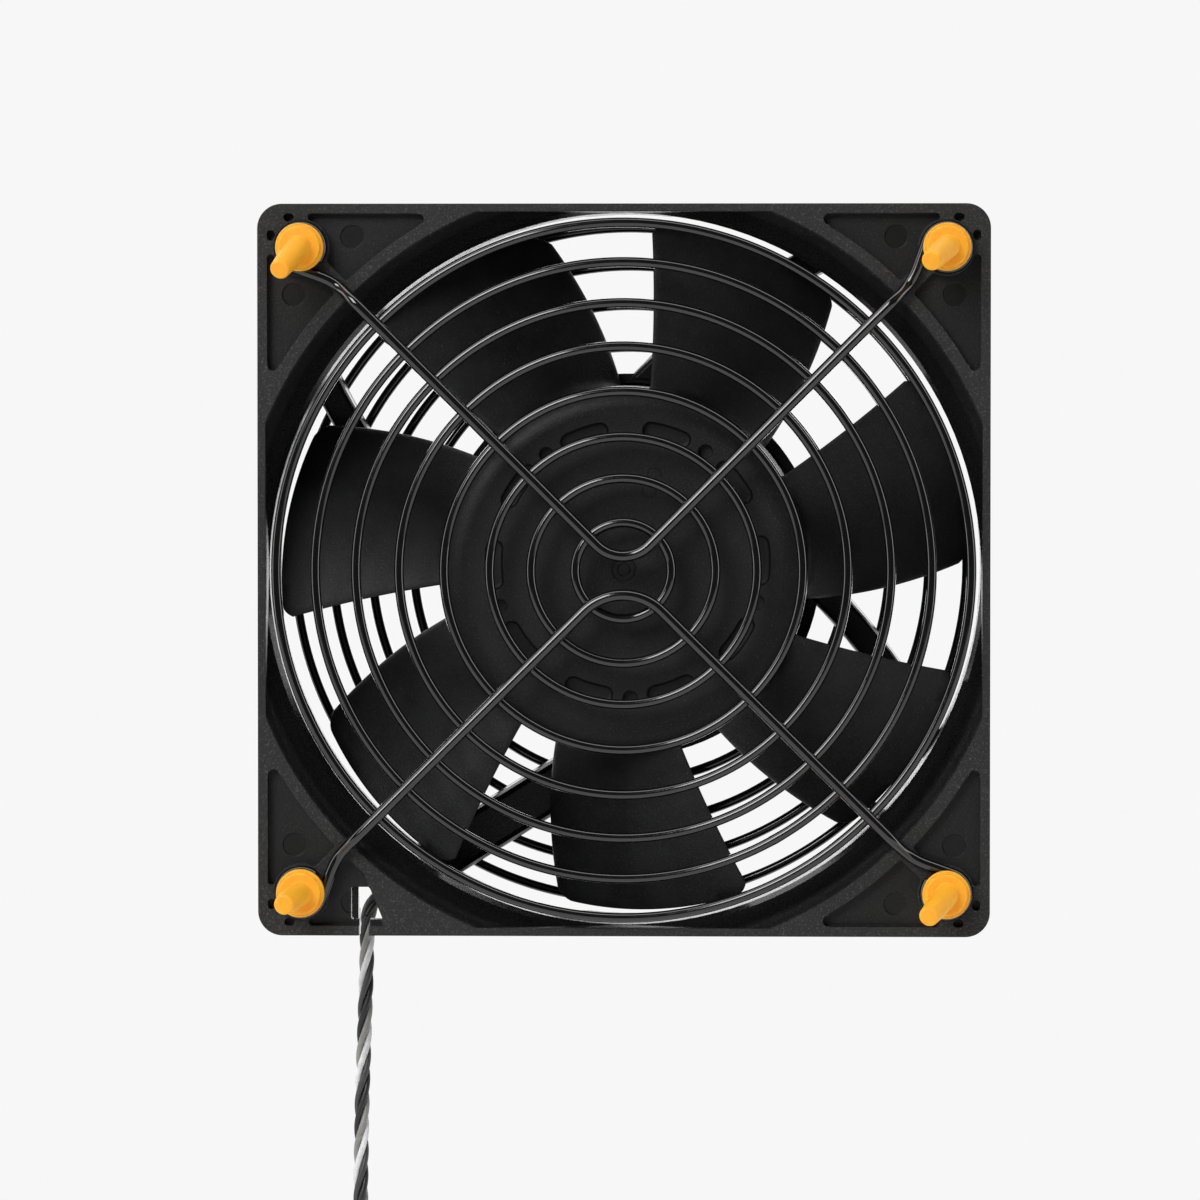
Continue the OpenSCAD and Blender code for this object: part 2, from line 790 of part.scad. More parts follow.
// A V-shaped stay: two straight legs on the diagonals and a round bend at the middle
module stay(bend_r, bend_gap) {
    centre_y = bend_gap + bend_r;
    bend = [for (i = [0 : bend_steps]) let (a = 225 + 90 * i / bend_steps)
        [bend_r * cos(a), centre_y + bend_r * sin(a), stay_z]];
    right_leg = [for (p = stay_end(1)) [(p[0] - p[1]) * cos(45), (p[0] + p[1]) * cos(45), p[2]]];
    left_leg = [for (p = stay_end(-1)) [-(p[0] - p[1]) * cos(45), (p[0] + p[1]) * cos(45), p[2]]];
    sweep(concat(reversed(left_leg), bend, right_leg), stay_wire / 2, stay_sides, [0, 0, 1]);
}

module upper_stay() { stay(upper_bend_r, 2.4); }
module lower_stay() { rotate(180) stay(lower_bend_r, 3.9); }

module front_guard_rings() { color(wire_black) fan_space() guard_rings(); }
module front_guard_upper_stay() { color(wire_black) fan_space() upper_stay(); }
module front_guard_lower_stay() { color(wire_black) fan_space() lower_stay(); }
module rear_guard_rings() { color(wire_black) fan_space() on_rear() guard_rings(); }
module rear_guard_upper_stay() { color(wire_black) fan_space() on_rear() upper_stay(); }
module rear_guard_lower_stay() { color(wire_black) fan_space() on_rear() lower_stay(); }

// ---- Mounting pins ------------------------------------------------------------------------

module pin_shape(r) {
    straight = stub_len * 0.6;
    tip_taper = 0.27;
    translate([0, 0, -disc_t]) cylinder(r = disc_r, h = disc_t);
    translate([0, 0, -disc_t - collar_t]) cylinder(r = collar_r, h = collar_t);
    translate([0, 0, face_z - flange_t]) cylinder(r = shank_r, h = stay_wire + flange_t);
    translate([0, 0, face_z - flange_t - head_len]) cylinder(r1 = shank_r - 0.3, r2 = head_r, h = head_len);
    cylinder(r = r, h = straight);
    translate([0, 0, straight]) cylinder(r1 = r, r2 = r - tip_taper, h = stub_len - straight);
}

module front_pin(c) {
    color(orange) fan_space() translate([c[1], c[2], 0] * hole_at) pin_shape(stub_r);
}
module rear_pin(c) {
    color(orange) fan_space() on_rear() translate([-c[1], c[2], 0] * hole_at) pin_shape(rear_stub_r);
}

// ---- Lead ---------------------------------------------------------------------------------

module inner_leads() {
    color(wire_black) sweep(spline(placed(inner_route), 2), lead_d / 2 - 0.1, 8, [0, 1, 0]);
}
module lead() { color(wire_black) sweep(placed(lead_route), lead_d / 2, 8, [0, 1, 0]); }

module at_coil() { translate([coil_x, coil_y, coil_z]) rotate([90, 0, 0]) children(); }

module coil_ring() {
    rotate_extrude() translate([coil_r - coil_section / 2, -coil_section / 2]) square(coil_section);
}

module lead_coil() { color(wire_black) at_coil() coil_ring(); }

module lead_tie() {
    tie_w = 3;
    tie_t = 0.8;
    outer = coil_section + 2 * tie_t;
    color(wire_black) at_coil() rotate(tie_angle) difference() {
        translate([coil_r, 0, 0]) cube([outer, tie_w, outer], center = true);
        coil_ring();
    }
}

// The last turn leaves the coil's right side and runs down into the connector
module lead_end() {
    color(wire_black) translate([coil_x + coil_r, coil_y, housing_top])
        cylinder(d = lead_d, h = end_top - housing_top);
}

module at_connector() { translate([coil_x + coil_r, coil_y, housing_top - housing_l]) children(); }

// Columns of the connector, one for each wire
module at_contacts() {
    for (k = [-1.5 : 1 : 1.5]) translate([k * contact_pitch, 0, 0]) children();
}

module connector_housing() {
    rib_t = 1;
    rib_x = [-3.6, 1.1];
    pocket_w = contact_w + 0.1;
    color(wire_black) at_connector() difference() {
        union() {
            translate([-housing_w / 2, -housing_t / 2, 0]) cube([housing_w, housing_t, housing_l]);
            for (x = rib_x) translate([x, -housing_t / 2 - rib_t, 0])
                cube([rib_t, rib_t + 0.1, housing_l * 0.8]);
        }
        at_contacts() {
            translate([-pocket_w / 2, -pocket_w / 2, -over]) cube([pocket_w, pocket_w, housing_l + 2 * over]);
            translate([-latch_w / 2, 0, housing_l * 0.45]) cube([latch_w, housing_t, latch_l]);
        }
    }
}

module connector_contacts() {
    color(brass) at_connector() at_contacts() difference() {
        translate([-contact_w / 2, -contact_w / 2, 1]) cube([contact_w, contact_w, housing_l - 2]);
        translate([-wire_hole / 2, -wire_hole / 2, 0]) cube([wire_hole, wire_hole, housing_l * 0.6]);
    }
}

// ---- Assembly -----------------------------------------------------------------------------

frame();
bearing_tube();
rear_label();
bearing_plug();
front_bearing_outer_ring();
front_bearing_inner_ring();
front_bearing_balls();
front_bearing_cage();
rear_bearing_outer_ring();
rear_bearing_inner_ring();
rear_bearing_balls();
rear_bearing_cage();
bearing_shields();
stator_core();
front_insulator();
rear_insulator();
stator_coils();
circuit_board();
driver_chip();
hall_sensor();
capacitor();
chip_resistors();
impeller();
rotor_yoke();
rotor_magnet();
shaft();
hub_bush();
preload_spring();
thrust_washer();
retaining_clip();
front_guard_rings();
front_guard_upper_stay();
front_guard_lower_stay();
rear_guard_rings();
rear_guard_upper_stay();
rear_guard_lower_stay();
for (c = corners) front_pin(c);
for (c = corners) rear_pin(c);
inner_leads();
lead();
lead_coil();
lead_tie();
lead_end();
connector_housing();
connector_contacts();
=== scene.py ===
"""Case fan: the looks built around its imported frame.

X is to the right and Z is up as the intake face is seen, and the air moves along +Y. Lengths are in
millimetres, and make_piece() turns them to metres.
"""

import math

import bmesh
import bpy
from mathutils import Matrix, Vector


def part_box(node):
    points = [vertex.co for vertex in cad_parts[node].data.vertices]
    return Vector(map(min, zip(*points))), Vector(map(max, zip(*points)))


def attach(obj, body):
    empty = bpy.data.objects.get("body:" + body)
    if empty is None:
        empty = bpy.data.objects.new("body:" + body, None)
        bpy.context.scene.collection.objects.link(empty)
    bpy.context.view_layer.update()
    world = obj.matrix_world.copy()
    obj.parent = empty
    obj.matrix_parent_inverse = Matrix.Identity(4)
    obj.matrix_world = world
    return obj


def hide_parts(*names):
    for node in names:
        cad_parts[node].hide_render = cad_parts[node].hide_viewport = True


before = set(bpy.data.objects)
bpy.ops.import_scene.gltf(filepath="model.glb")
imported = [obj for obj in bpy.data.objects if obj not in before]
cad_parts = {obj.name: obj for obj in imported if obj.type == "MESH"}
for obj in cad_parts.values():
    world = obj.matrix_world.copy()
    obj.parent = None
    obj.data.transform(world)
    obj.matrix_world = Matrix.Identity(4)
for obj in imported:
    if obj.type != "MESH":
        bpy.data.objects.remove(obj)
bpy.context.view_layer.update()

MM = 0.001
TAU = 2 * math.pi
# Edges bent more than this stay sharp
SHARP_FROM = math.radians(40)
# Points closer together than this are joined, in metres
JOIN_WITHIN = 2e-7
CORNERS = ("top_left", "top_right", "bottom_left", "bottom_right")


def node_box(name):
    """A CAD node's lowest and highest corner, in millimetres."""
    low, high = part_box(name)
    return low / MM, high / MM


FACE = node_box("frame")[0].y
BACK = node_box("frame")[1].y
# The hub's flat front below the frame's face, and the radius that its putty slots keep within
HUB_DEPTH = 4.0
SLOTS_WITHIN = 24.5


# ---- Shapes: (points, faces) pairs -------------------------------------------------------------


def mix(a, b, t):
    return a + (b - a) * t


def smooth_step(t):
    t = max(0.0, min(1.0, t))
    return t * t * (3 - 2 * t)


def merged(*shapes):
    """Several shapes as one."""
    points, faces = [], []
    for more_points, more_faces in shapes:
        first = len(points)
        faces += [[i + first for i in face] for face in more_faces]
        points += more_points
    return points, faces


def moved(shape, matrix):
    return [matrix @ p for p in shape[0]], shape[1]


def on_rear(shape):
    """A piece of the intake face put on the outlet face, turned about the vertical line between them."""
    middle = (FACE + BACK) / 2
    return [Vector((-p.x, 2 * middle - p.y, p.z)) for p in shape[0]], shape[1]


def skin(rings, closed_along=False, caps=True):
    """A surface through rings of the same number of points."""
    sides = len(rings[0])
    points = [Vector(p) for ring in rings for p in ring]
    faces = []
    for i in range(len(rings) - (0 if closed_along else 1)):
        here, there = i * sides, (i + 1) % len(rings) * sides
        for k in range(sides):
            after = (k + 1) % sides
            faces.append([here + k, here + after, there + after, there + k])
    if caps and not closed_along:
        faces.append(list(range(sides))[::-1])
        faces.append(list(range((len(rings) - 1) * sides, len(rings) * sides)))
    return points, faces


def headings(path, closed=False):
    """The direction of a path at each of its points."""
    last = len(path) - 1
    found = []
    for i in range(len(path)):
        before = path[(i - 1) % len(path)] if closed else path[max(i - 1, 0)]
        after = path[(i + 1) % len(path)] if closed else path[min(i + 1, last)]
        found.append((after - before).normalized())
    return found


def sweep(path, radius, sides=16, closed=False, sideways=Vector((0, 1, 0))):
    """A round tube along a path that never runs along sideways. radius is a number or a list of them."""
    radii = radius if isinstance(radius, list) else [radius] * len(path)
    rings = []
    for centre, along, r in zip(path, headings(path, closed), radii):
        u = along.cross(sideways).normalized()
        v = along.cross(u)
        rings.append([centre + r * (math.cos(a) * u + math.sin(a) * v)
                      for a in (TAU * k / sides for k in range(sides))])
    return skin(rings, closed_along=closed)


def rounded(corners, radius, steps=5):
    """An open outline with each corner made round. A corner is (x, y), or (x, y, its own radius)."""
    points = [Vector(corners[0][:2])]
    for before, corner, after in zip(corners, corners[1:], corners[2:]):
        here = Vector(corner[:2])
        to_before, to_after = Vector(before[:2]) - here, Vector(after[:2]) - here
        bend = corner[2] if len(corner) > 2 else radius
        half = to_before.angle(to_after) / 2
        reach = min(bend / math.tan(half), 0.49 * to_before.length, 0.49 * to_after.length)
        start, end = here + to_before.normalized() * reach, here + to_after.normalized() * reach
        for i in range(steps + 1):
            t = i / steps
            points.append(start * (1 - t) ** 2 + here * 2 * t * (1 - t) + end * t * t)
    return [*points, Vector(corners[-1][:2])]


def turned(profile, steps=96, place=None):
    """A body of revolution from (radius, y) points about the Y axis, or about a bent line.
    place(y) gives the line's point and two directions across it."""
    place = place or (lambda y: (Vector((0, y, 0)), Vector((1, 0, 0)), Vector((0, 0, 1))))
    rings = []
    for r, y in profile:
        centre, u, v = place(y)
        rings.append([centre + max(r, 1e-4) * (math.cos(a) * u + math.sin(a) * v)
                      for a in (TAU * k / steps for k in range(steps))])
    return skin(rings)


def block(low, high, bevel=0.0, steps=2):
    """A box with rounded edges."""
    mesh = bmesh.new()
    size = [high[i] - low[i] for i in range(3)]
    middle = Vector([(high[i] + low[i]) / 2 for i in range(3)])
    bmesh.ops.create_cube(mesh, size=1, matrix=Matrix.Translation(middle) @ Matrix.Diagonal((*size, 1)))
    if bevel:
        bmesh.ops.bevel(mesh, geom=mesh.edges[:], offset=bevel, segments=steps, profile=0.5, affect="EDGES")
    mesh.verts.index_update()
    shape = [v.co.copy() for v in mesh.verts], [[v.index for v in f.verts] for f in mesh.faces]
    mesh.free()
    return shape


def catmull(points, steps):
    """A smooth curve through points."""
    found = []
    for i in range(len(points) - 1):
        a, b = points[max(i - 1, 0)], points[i]
        c, d = points[i + 1], points[min(i + 2, len(points) - 1)]
        for s in range(steps):
            t = s / steps
            found.append(0.5 * (2 * b + t * (c - a) + t * t * (2 * a - 5 * b + 4 * c - d)
                                + t ** 3 * (3 * b - a - 3 * c + d)))
    return [*found, points[-1]]


def evenly(path, step):
    """The same path with points about a step apart."""
    lengths = [0.0]
    for a, b in zip(path, path[1:]):
        lengths.append(lengths[-1] + (b - a).length)
    count = max(2, round(lengths[-1] / step))
    found, i = [], 0
    for k in range(count + 1):
        want = lengths[-1] * k / count
        while i < len(path) - 2 and lengths[i + 1] < want:
            i += 1
        run = lengths[i + 1] - lengths[i]
        found.append(path[i].lerp(path[i + 1], (want - lengths[i]) / run))
    return found


def make_piece(name, shape, looks, body, stands_for=(), paint=None):
    """A mesh object from a shape, riding on a body. looks is one material or a list of them, which
    paint(face number) picks from."""
    mesh = bpy.data.meshes.new(name)
    mesh.from_pydata([p * MM for p in shape[0]], [], shape[1])
    for look in looks if isinstance(looks, list) else [looks]:
        mesh.materials.append(look)
    if paint:
        for face in mesh.polygons:
            face.material_index = paint(face.index)
    clean = bmesh.new()
    clean.from_mesh(mesh)
    bmesh.ops.remove_doubles(clean, verts=clean.verts, dist=JOIN_WITHIN)
    bmesh.ops.recalc_face_normals(clean, faces=clean.faces)
    for edge in clean.edges:
        edge.smooth = edge.calc_face_angle(0) < SHARP_FROM
    for face in clean.faces:
        face.smooth = True
    clean.to_mesh(mesh)
    clean.free()
    piece = bpy.data.objects.new(name, mesh)
    bpy.context.scene.collection.objects.link(piece)
    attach(piece, body)
    if stands_for:
        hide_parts(*stands_for)
    return piece


# ---- Materials ---------------------------------------------------------------------------------


class Look:
    """A material of one Principled shader, with patterns in the piece's own millimetres."""

    def __init__(self, name, **sockets):
        self.material = bpy.data.materials.new(name)
        self.material.use_nodes = True
        self.tree = self.material.node_tree
        self.shader = self.tree.nodes["Principled BSDF"]
        for socket, value in sockets.items():
            self.shader.inputs[socket.replace("_", " ")].default_value = value
        places = self.tree.nodes.new("ShaderNodeTexCoord")
        scale = self.tree.nodes.new("ShaderNodeVectorMath")
        scale.operation = "SCALE"
        scale.inputs["Scale"].default_value = 1 / MM
        self.link(places.outputs["Object"], scale.inputs[0])
        self.places = scale.outputs[0]

    def link(self, output, socket):
        self.tree.links.new(output, socket)

    def stretched(self, x, y, z):
        """Places with each axis scaled."""
        node = self.tree.nodes.new("ShaderNodeVectorMath")
        node.operation = "MULTIPLY"
        node.inputs[1].default_value = (x, y, z)
        self.link(self.places, node.inputs[0])
        return node.outputs[0]

    def noise(self, size, detail=2.0, rough=0.5, places=None):
        """Soft noise from 0 to 1 whose lumps are about size across."""
        node = self.tree.nodes.new("ShaderNodeTexNoise")
        node.inputs["Scale"].default_value = 1 / size
        node.inputs["Detail"].default_value = detail
        node.inputs["Roughness"].default_value = rough
        self.link(places or self.places, node.inputs["Vector"])
        return node.outputs["Fac"]

    def axis(self, letter):
        """One coordinate, in millimetres."""
        node = self.tree.nodes.new("ShaderNodeSeparateXYZ")
        self.link(self.places, node.inputs[0])
        return node.outputs[letter]

    def radius(self):
        """Distance from the fan's axis."""
        flat = self.stretched(1, 0, 1)
        node = self.tree.nodes.new("ShaderNodeVectorMath")
        node.operation = "LENGTH"
        self.link(flat, node.inputs[0])
        return node.outputs["Value"]

    def ramp(self, source, low, high, start=0.0, end=1.0):
        """start where source is at most low, end where it is at least high."""
        node = self.tree.nodes.new("ShaderNodeMapRange")
        node.interpolation_type = "SMOOTHSTEP"
        for socket, value in zip(("From Min", "From Max", "To Min", "To Max"), (low, high, start, end)):
            node.inputs[socket].default_value = value
        self.link(source, node.inputs["Value"])
        return node.outputs["Result"]

    def maths(self, operation, a, b):
        node = self.tree.nodes.new("ShaderNodeMath")
        node.operation = operation
        for socket, value in zip(node.inputs, (a, b)):
            if isinstance(value, (int, float)):
                socket.default_value = value
            else:
                self.link(value, socket)
        return node.outputs[0]

    def blended(self, factor, a, b):
        """Colour a where factor is 0 and b where it is 1. Each is a colour or an output."""
        node = self.tree.nodes.new("ShaderNodeMix")
        node.data_type = "RGBA"
        self.link(factor, node.inputs["Factor"])
        for socket, value in zip((node.inputs[6], node.inputs[7]), (a, b)):
            if isinstance(value, tuple):
                socket.default_value = (*value, 1)
            else:
                self.link(value, socket)
        return node.outputs[2]

    def colour(self, output):
        self.link(output, self.shader.inputs["Base Color"])

    def roughness(self, output):
        self.link(output, self.shader.inputs["Roughness"])

    def relief(self, *layers, edge=0.0):
        """Bumps from (height, depth in mm) layers, over edges softened by a radius in mm."""
        normal = None
        if edge:
            bevel = self.tree.nodes.new("ShaderNodeBevel")
            bevel.samples = 4
            bevel.inputs["Radius"].default_value = edge * MM
            normal = bevel.outputs[0]
        for height, depth in layers:
            bump = self.tree.nodes.new("ShaderNodeBump")
            bump.inputs["Strength"].default_value = 1.0
            bump.inputs["Distance"].default_value = depth * MM
            self.link(height, bump.inputs["Height"])
            if normal:
                self.link(normal, bump.inputs["Normal"])
            normal = bump.outputs[0]
        self.link(normal, self.shader.inputs["Normal"])
        return self.material


def grey(value, tint=(1.0, 1.0, 1.0)):
    return tuple(value * t for t in tint)


def frame_plastic():
    """Black glass-filled nylon: a sparkling fine grain on the faces, smoother walls inside, and painted shade
    that gives everything away from the front and rear faces (sides, bore, pocket floors) a darker colour.
    """
    look = Look("frame_plastic", Specular_IOR_Level=0.36)
    depth = look.axis("Y")
    faces = look.maths("ADD", look.ramp(depth, FACE + 0.25, FACE + 0.5, 1, 0),
                       look.ramp(depth, BACK - 0.5, BACK - 0.25))
    floors = look.maths("ADD", look.ramp(depth, FACE + 2.6, FACE + 1.7, 0, 0.55),
                        look.ramp(depth, BACK - 2.6, BACK - 1.7, 0, 0.55))
    grain = look.noise(0.3, 3, 0.7)
    patches = look.noise(9, 3)
    speck = look.ramp(grain, 0.52, 0.72)
    grained = look.maths("MAXIMUM", faces, floors)
    # Painted shade: away from the front and rear faces (the sides, bore and pocket floors) the plastic gets
    # this darker colour
    recess_painted_shade = look.blended(look.ramp(patches, 0.3, 0.7), grey(0.0058), grey(0.0076, (0.98, 1, 0.99)))
    top = look.blended(look.ramp(patches, 0.3, 0.7), grey(0.0092), grey(0.0118, (0.98, 1, 0.99)))
    base = look.blended(faces, recess_painted_shade, top)
    look.colour(look.blended(look.maths("MULTIPLY", speck, grained), base, grey(0.065)))
    rough = look.ramp(grain, 0.3, 0.7, 0.24, 0.34)
    look.roughness(look.maths("ADD", rough, look.maths("MULTIPLY", grained, 0.24)))
    lumps = look.maths("MULTIPLY", grain, look.maths("ADD", look.maths("MULTIPLY", grained, 0.9), 0.1))
    return look.relief((lumps, 0.09), (patches, 0.03), edge=0.22)


def impeller_plastic():
    """Black glass-filled nylon with a satin skin, faint flow marks and pale flecks, and painted shade
    darkening the hub's slots."""
    look = Look("impeller_plastic", Specular_IOR_Level=0.27)
    grain = look.noise(0.34, 3, 0.65)
    flow = look.noise(7, 4, 0.55, look.stretched(1, 0.6, 1))
    radius = look.radius()
    outer = look.ramp(radius, 24, 40)
    fleck = look.ramp(look.noise(0.26, 2, 0.75), 0.58, 0.74)
    dark = look.blended(outer, grey(0.0055), grey(0.0085, (0.97, 1, 1)))
    pale = look.blended(outer, grey(0.0085), grey(0.015, (0.97, 1, 1)))
    base = look.blended(look.ramp(flow, 0.3, 0.7), dark, pale)
    base = look.blended(fleck, base, grey(0.045))
    # Painted shade: the hub's slots and holes, below its flat front, are coloured near black
    sunk = look.ramp(look.axis("Y"), FACE + HUB_DEPTH + 0.25, FACE + HUB_DEPTH + 0.6)
    slot_painted_shade = look.maths("MULTIPLY", sunk, look.ramp(radius, SLOTS_WITHIN - 0.1, SLOTS_WITHIN + 0.1, 1, 0))
    look.colour(look.blended(slot_painted_shade, base, grey(0.004)))
    look.roughness(look.maths("ADD", look.ramp(grain, 0.3, 0.7, 0.4, 0.54),
                              look.ramp(flow, 0.3, 0.7, 0, 0.06)))
    return look.relief((grain, 0.07), (flow, 0.05), edge=0.3)


def guard_coating():
    """Thick glossy black powder coat, almost smooth, with a little dust in it."""
    look = Look("guard_coating", Specular_IOR_Level=0.5, Coat_Weight=0.5, Coat_Roughness=0.08, Coat_IOR=1.6)
    peel = look.noise(1.6, 2, 0.4)
    dust = look.ramp(look.noise(0.25, 3, 0.7), 0.66, 0.8)
    look.colour(look.blended(dust, grey(0.0025), grey(0.006)))
    look.roughness(look.ramp(peel, 0.3, 0.7, 0.1, 0.16))
    return look.relief((peel, 0.008))


def orange_silicone():
    """Soft orange silicone rubber, smooth and slightly translucent."""
    look = Look("orange_silicone", Subsurface_Weight=0.7, Subsurface_Scale=0.0016, Specular_IOR_Level=0.3)
    look.shader.inputs["Subsurface Radius"].default_value = (1.0, 0.3, 0.05)
    bloom = look.noise(1.2, 4, 0.6)
    look.colour(look.blended(look.ramp(bloom, 0.3, 0.75), (1.0, 0.42, 0.022), (1.0, 0.47, 0.03)))
    look.roughness(look.ramp(bloom, 0.3, 0.7, 0.42, 0.54))
    return look.relief((look.noise(0.3, 2), 0.006), (bloom, 0.015))


def metal(name, colour, rough, scratch=(1, 0.05, 1), deep=0.004):
    """Worked metal with fine marks drawn out along one direction."""
    look = Look(name, Metallic=1.0)
    marks = look.noise(0.12, 3, 0.6, look.stretched(*scratch))
    stain = look.noise(2.5, 3)
    darker = tuple(0.72 * c for c in colour)
    look.colour(look.blended(look.ramp(stain, 0.35, 0.75), colour, darker))
    look.roughness(look.maths("ADD", look.ramp(marks, 0.3, 0.7, rough, rough + 0.12),
                              look.ramp(stain, 0.3, 0.7, 0, 0.08)))
    return look.relief((marks, deep))


def laminations():
    """Stacked steel sheets, 0.5 mm each, with dark oxide between them."""
    look = Look("lamination_steel", Metallic=1.0)
    wave = look.tree.nodes.new("ShaderNodeTexWave")
    wave.bands_direction = "Y"
    wave.inputs["Scale"].default_value = 0.62
    wave.inputs["Distortion"].default_value = 0.15
    look.link(look.places, wave.inputs["Vector"])
    sheet = wave.outputs["Fac"]
    look.colour(look.blended(sheet, grey(0.16, (1, 1, 1.05)), grey(0.42, (1, 1, 1.04))))
    look.roughness(look.ramp(look.noise(0.3), 0.3, 0.7, 0.35, 0.5))
    return look.relief((sheet, 0.05))


def moulded(name, colour, rough, grain=0.25, deep=0.02, edge=0.1, **sockets):
    """A plain moulded or coated part with a fine grain and slightly uneven colour."""
    look = Look(name, **sockets)
    fine = look.noise(grain, 3, 0.6)
    cloud = look.noise(4, 3)
    lighter = tuple(min(1.0, 1.3 * c + 0.002) for c in colour)
    look.colour(look.blended(look.ramp(cloud, 0.3, 0.7), colour, lighter))
    look.roughness(look.ramp(fine, 0.3, 0.7, rough - 0.05, rough + 0.07))
    return look.relief((fine, deep), edge=edge)


def copper_wire():
    """Enamelled copper: metal under an amber varnish."""
    look = Look("copper_winding", Metallic=1.0, Coat_Weight=0.7, Coat_Roughness=0.15)
    cloud = look.noise(1.2, 3)
    look.colour(look.blended(look.ramp(cloud, 0.3, 0.7), (0.62, 0.22, 0.07), (0.78, 0.34, 0.13)))
    look.roughness(look.ramp(cloud, 0.3, 0.7, 0.25, 0.38))
    return look.relief((look.noise(0.15), 0.01))


def circuit_board():
    """Green solder mask over the faint lift of copper tracks."""
    look = Look("board", Coat_Weight=0.4, Coat_Roughness=0.2)
    grid = look.stretched(0.45, 0.01, 0.45)
    tracks = look.tree.nodes.new("ShaderNodeTexVoronoi")
    tracks.distance = "CHEBYCHEV"
    tracks.feature = "DISTANCE_TO_EDGE"
    tracks.inputs["Scale"].default_value = 0.5
    look.link(grid, tracks.inputs["Vector"])
    edge = look.ramp(tracks.outputs["Distance"], 0.06, 0.12)
    look.colour(look.blended(edge, (0.006, 0.05, 0.02), (0.015, 0.11, 0.045)))
    look.roughness(look.ramp(look.noise(0.5), 0.3, 0.7, 0.28, 0.38))
    return look.relief((edge, 0.04))


def wire_insulation(name, colour, rough=0.42):
    """Satin PVC on a thin wire, with handling marks."""
    look = Look(name, Coat_Weight=0.15, Coat_Roughness=0.3)
    scuff = look.noise(1.6, 4, 0.6)
    darker = tuple(0.8 * c for c in colour)
    look.colour(look.blended(look.ramp(scuff, 0.35, 0.7), colour, darker))
    look.roughness(look.ramp(scuff, 0.3, 0.7, rough - 0.05, rough + 0.1))
    return look.relief((look.noise(0.3), 0.012))


LOOKS = {
    "frame_plastic": frame_plastic(),
    "impeller_plastic": impeller_plastic(),
    "guard_coating": guard_coating(),
    "orange_silicone": orange_silicone(),
    "brass": metal("brass", (0.72, 0.5, 0.2), 0.25),
    "bearing_steel": metal("bearing_steel", (0.62, 0.63, 0.65), 0.14, deep=0.002),
    "yoke_steel": metal("yoke_steel", (0.5, 0.51, 0.53), 0.32),
    "lamination_steel": laminations(),
    "magnet": moulded("magnet", (0.035, 0.035, 0.04), 0.6, deep=0.03),
    "copper_winding": copper_wire(),
    "nylon": moulded("nylon", (0.72, 0.7, 0.62), 0.45, Subsurface_Weight=0.1, Subsurface_Scale=0.001),
    "board": circuit_board(),
    "chip_plastic": moulded("chip_plastic", (0.014, 0.014, 0.015), 0.5),
    "label": moulded("label", (0.02, 0.02, 0.021), 0.4, grain=0.6, deep=0.01, edge=0.05),
    "black_rubber": moulded("black_rubber", (0.012, 0.012, 0.012), 0.65),
    "tie_nylon": moulded("tie_nylon", (0.012, 0.012, 0.012), 0.42),
    "connector_plastic": moulded("connector_plastic", (0.014, 0.014, 0.014), 0.4),
}
WIRES = [
    wire_insulation("wire_black", grey(0.012)),
    wire_insulation("wire_charcoal", grey(0.05)),
    wire_insulation("wire_white", grey(0.8)),
    wire_insulation("wire_grey", grey(0.27, (1.02, 1, 0.95))),
]


# ---- Camera ------------------------------------------------------------------------------------

AIM = Vector((-3.8, 4.6, -4.8))
CAMERA_AZIMUTH = math.radians(1.9)
CAMERA_ELEVATION = math.radians(1.8)
CAMERA_DISTANCE = 1130
LENS = 208.8


def make_camera():
    data = bpy.data.cameras.new("camera")
    data.lens = LENS
    data.clip_start, data.clip_end = 0.05, 50
    camera = bpy.data.objects.new("camera", data)
    flat = math.cos(CAMERA_ELEVATION)
    back = Vector((math.sin(CAMERA_AZIMUTH) * flat, -math.cos(CAMERA_AZIMUTH) * flat,
                   math.sin(CAMERA_ELEVATION)))
    camera.location = (AIM + back * CAMERA_DISTANCE) * MM
    camera.rotation_mode = "QUATERNION"
    camera.rotation_quaternion = (-back).to_track_quat("-Z", "Y")
    bpy.context.scene.collection.objects.link(camera)
    bpy.context.scene.camera = camera


make_camera()


# ---- Lead --------------------------------------------------------------------------------------

# Points of (x, depth behind the intake face, z)
INNER_ROUTE = [
    (9, 34.6, -19.6), (6.4, 35, -24), (1, 35.3, -28.8), (-4.3, 35.4, -32), (-17.3, 35.4, -40.1),
    (-30.3, 35.4, -48), (-36.6, 35.3, -51.6), (-40.4, 33.6, -54), (-42.8, 31.4, -56.4),
    (-43.6, 30.2, -58.8),
]
LEAD_ROUTE = [
    (-43.6, 30.2, -58.8), (-43.7, 30, -61), (-43.8, 30, -66), (-44, 30, -72), (-44.2, 30, -78),
    (-44.4, 30, -84), (-44.6, 30, -90), (-44.7, 30, -96), (-44.8, 30, -102), (-44.8, 30, -107),
]
# The way in among the coil's turns
COIL_ENTRY = [(-44.4, 30, -111), (-42, 30, -114.4)]
WIRE_D = 1.05
TWIST_PITCH = 16.0
TWIST_START = math.radians(40)
COIL_R = 14.3
COIL_LOW, COIL_HIGH = node_box("lead_coil")
COIL_MIDDLE = (COIL_LOW + COIL_HIGH) / 2
COIL_STACK = 1.38
COIL_FROM = math.radians(50)
COIL_TURNS, COIL_OVERLAP = 3, 50
COIL_ANGLE = math.radians(COIL_TURNS * 360 + COIL_OVERLAP)
COIL_STEPS = 180
# Where each turn lies in the coil's square section: outwards, and towards the rear
COIL_CELLS = [(-1, 1), (-1, -1), (1, -1), (1, 1), (0, 0)]
CELL_CHANGE = 0.22
# The first turn comes in at the middle of the depth and reaches its place over this angle
COIL_EASE = math.radians(60)
HOUSING_LOW, HOUSING_HIGH = node_box("connector_housing")
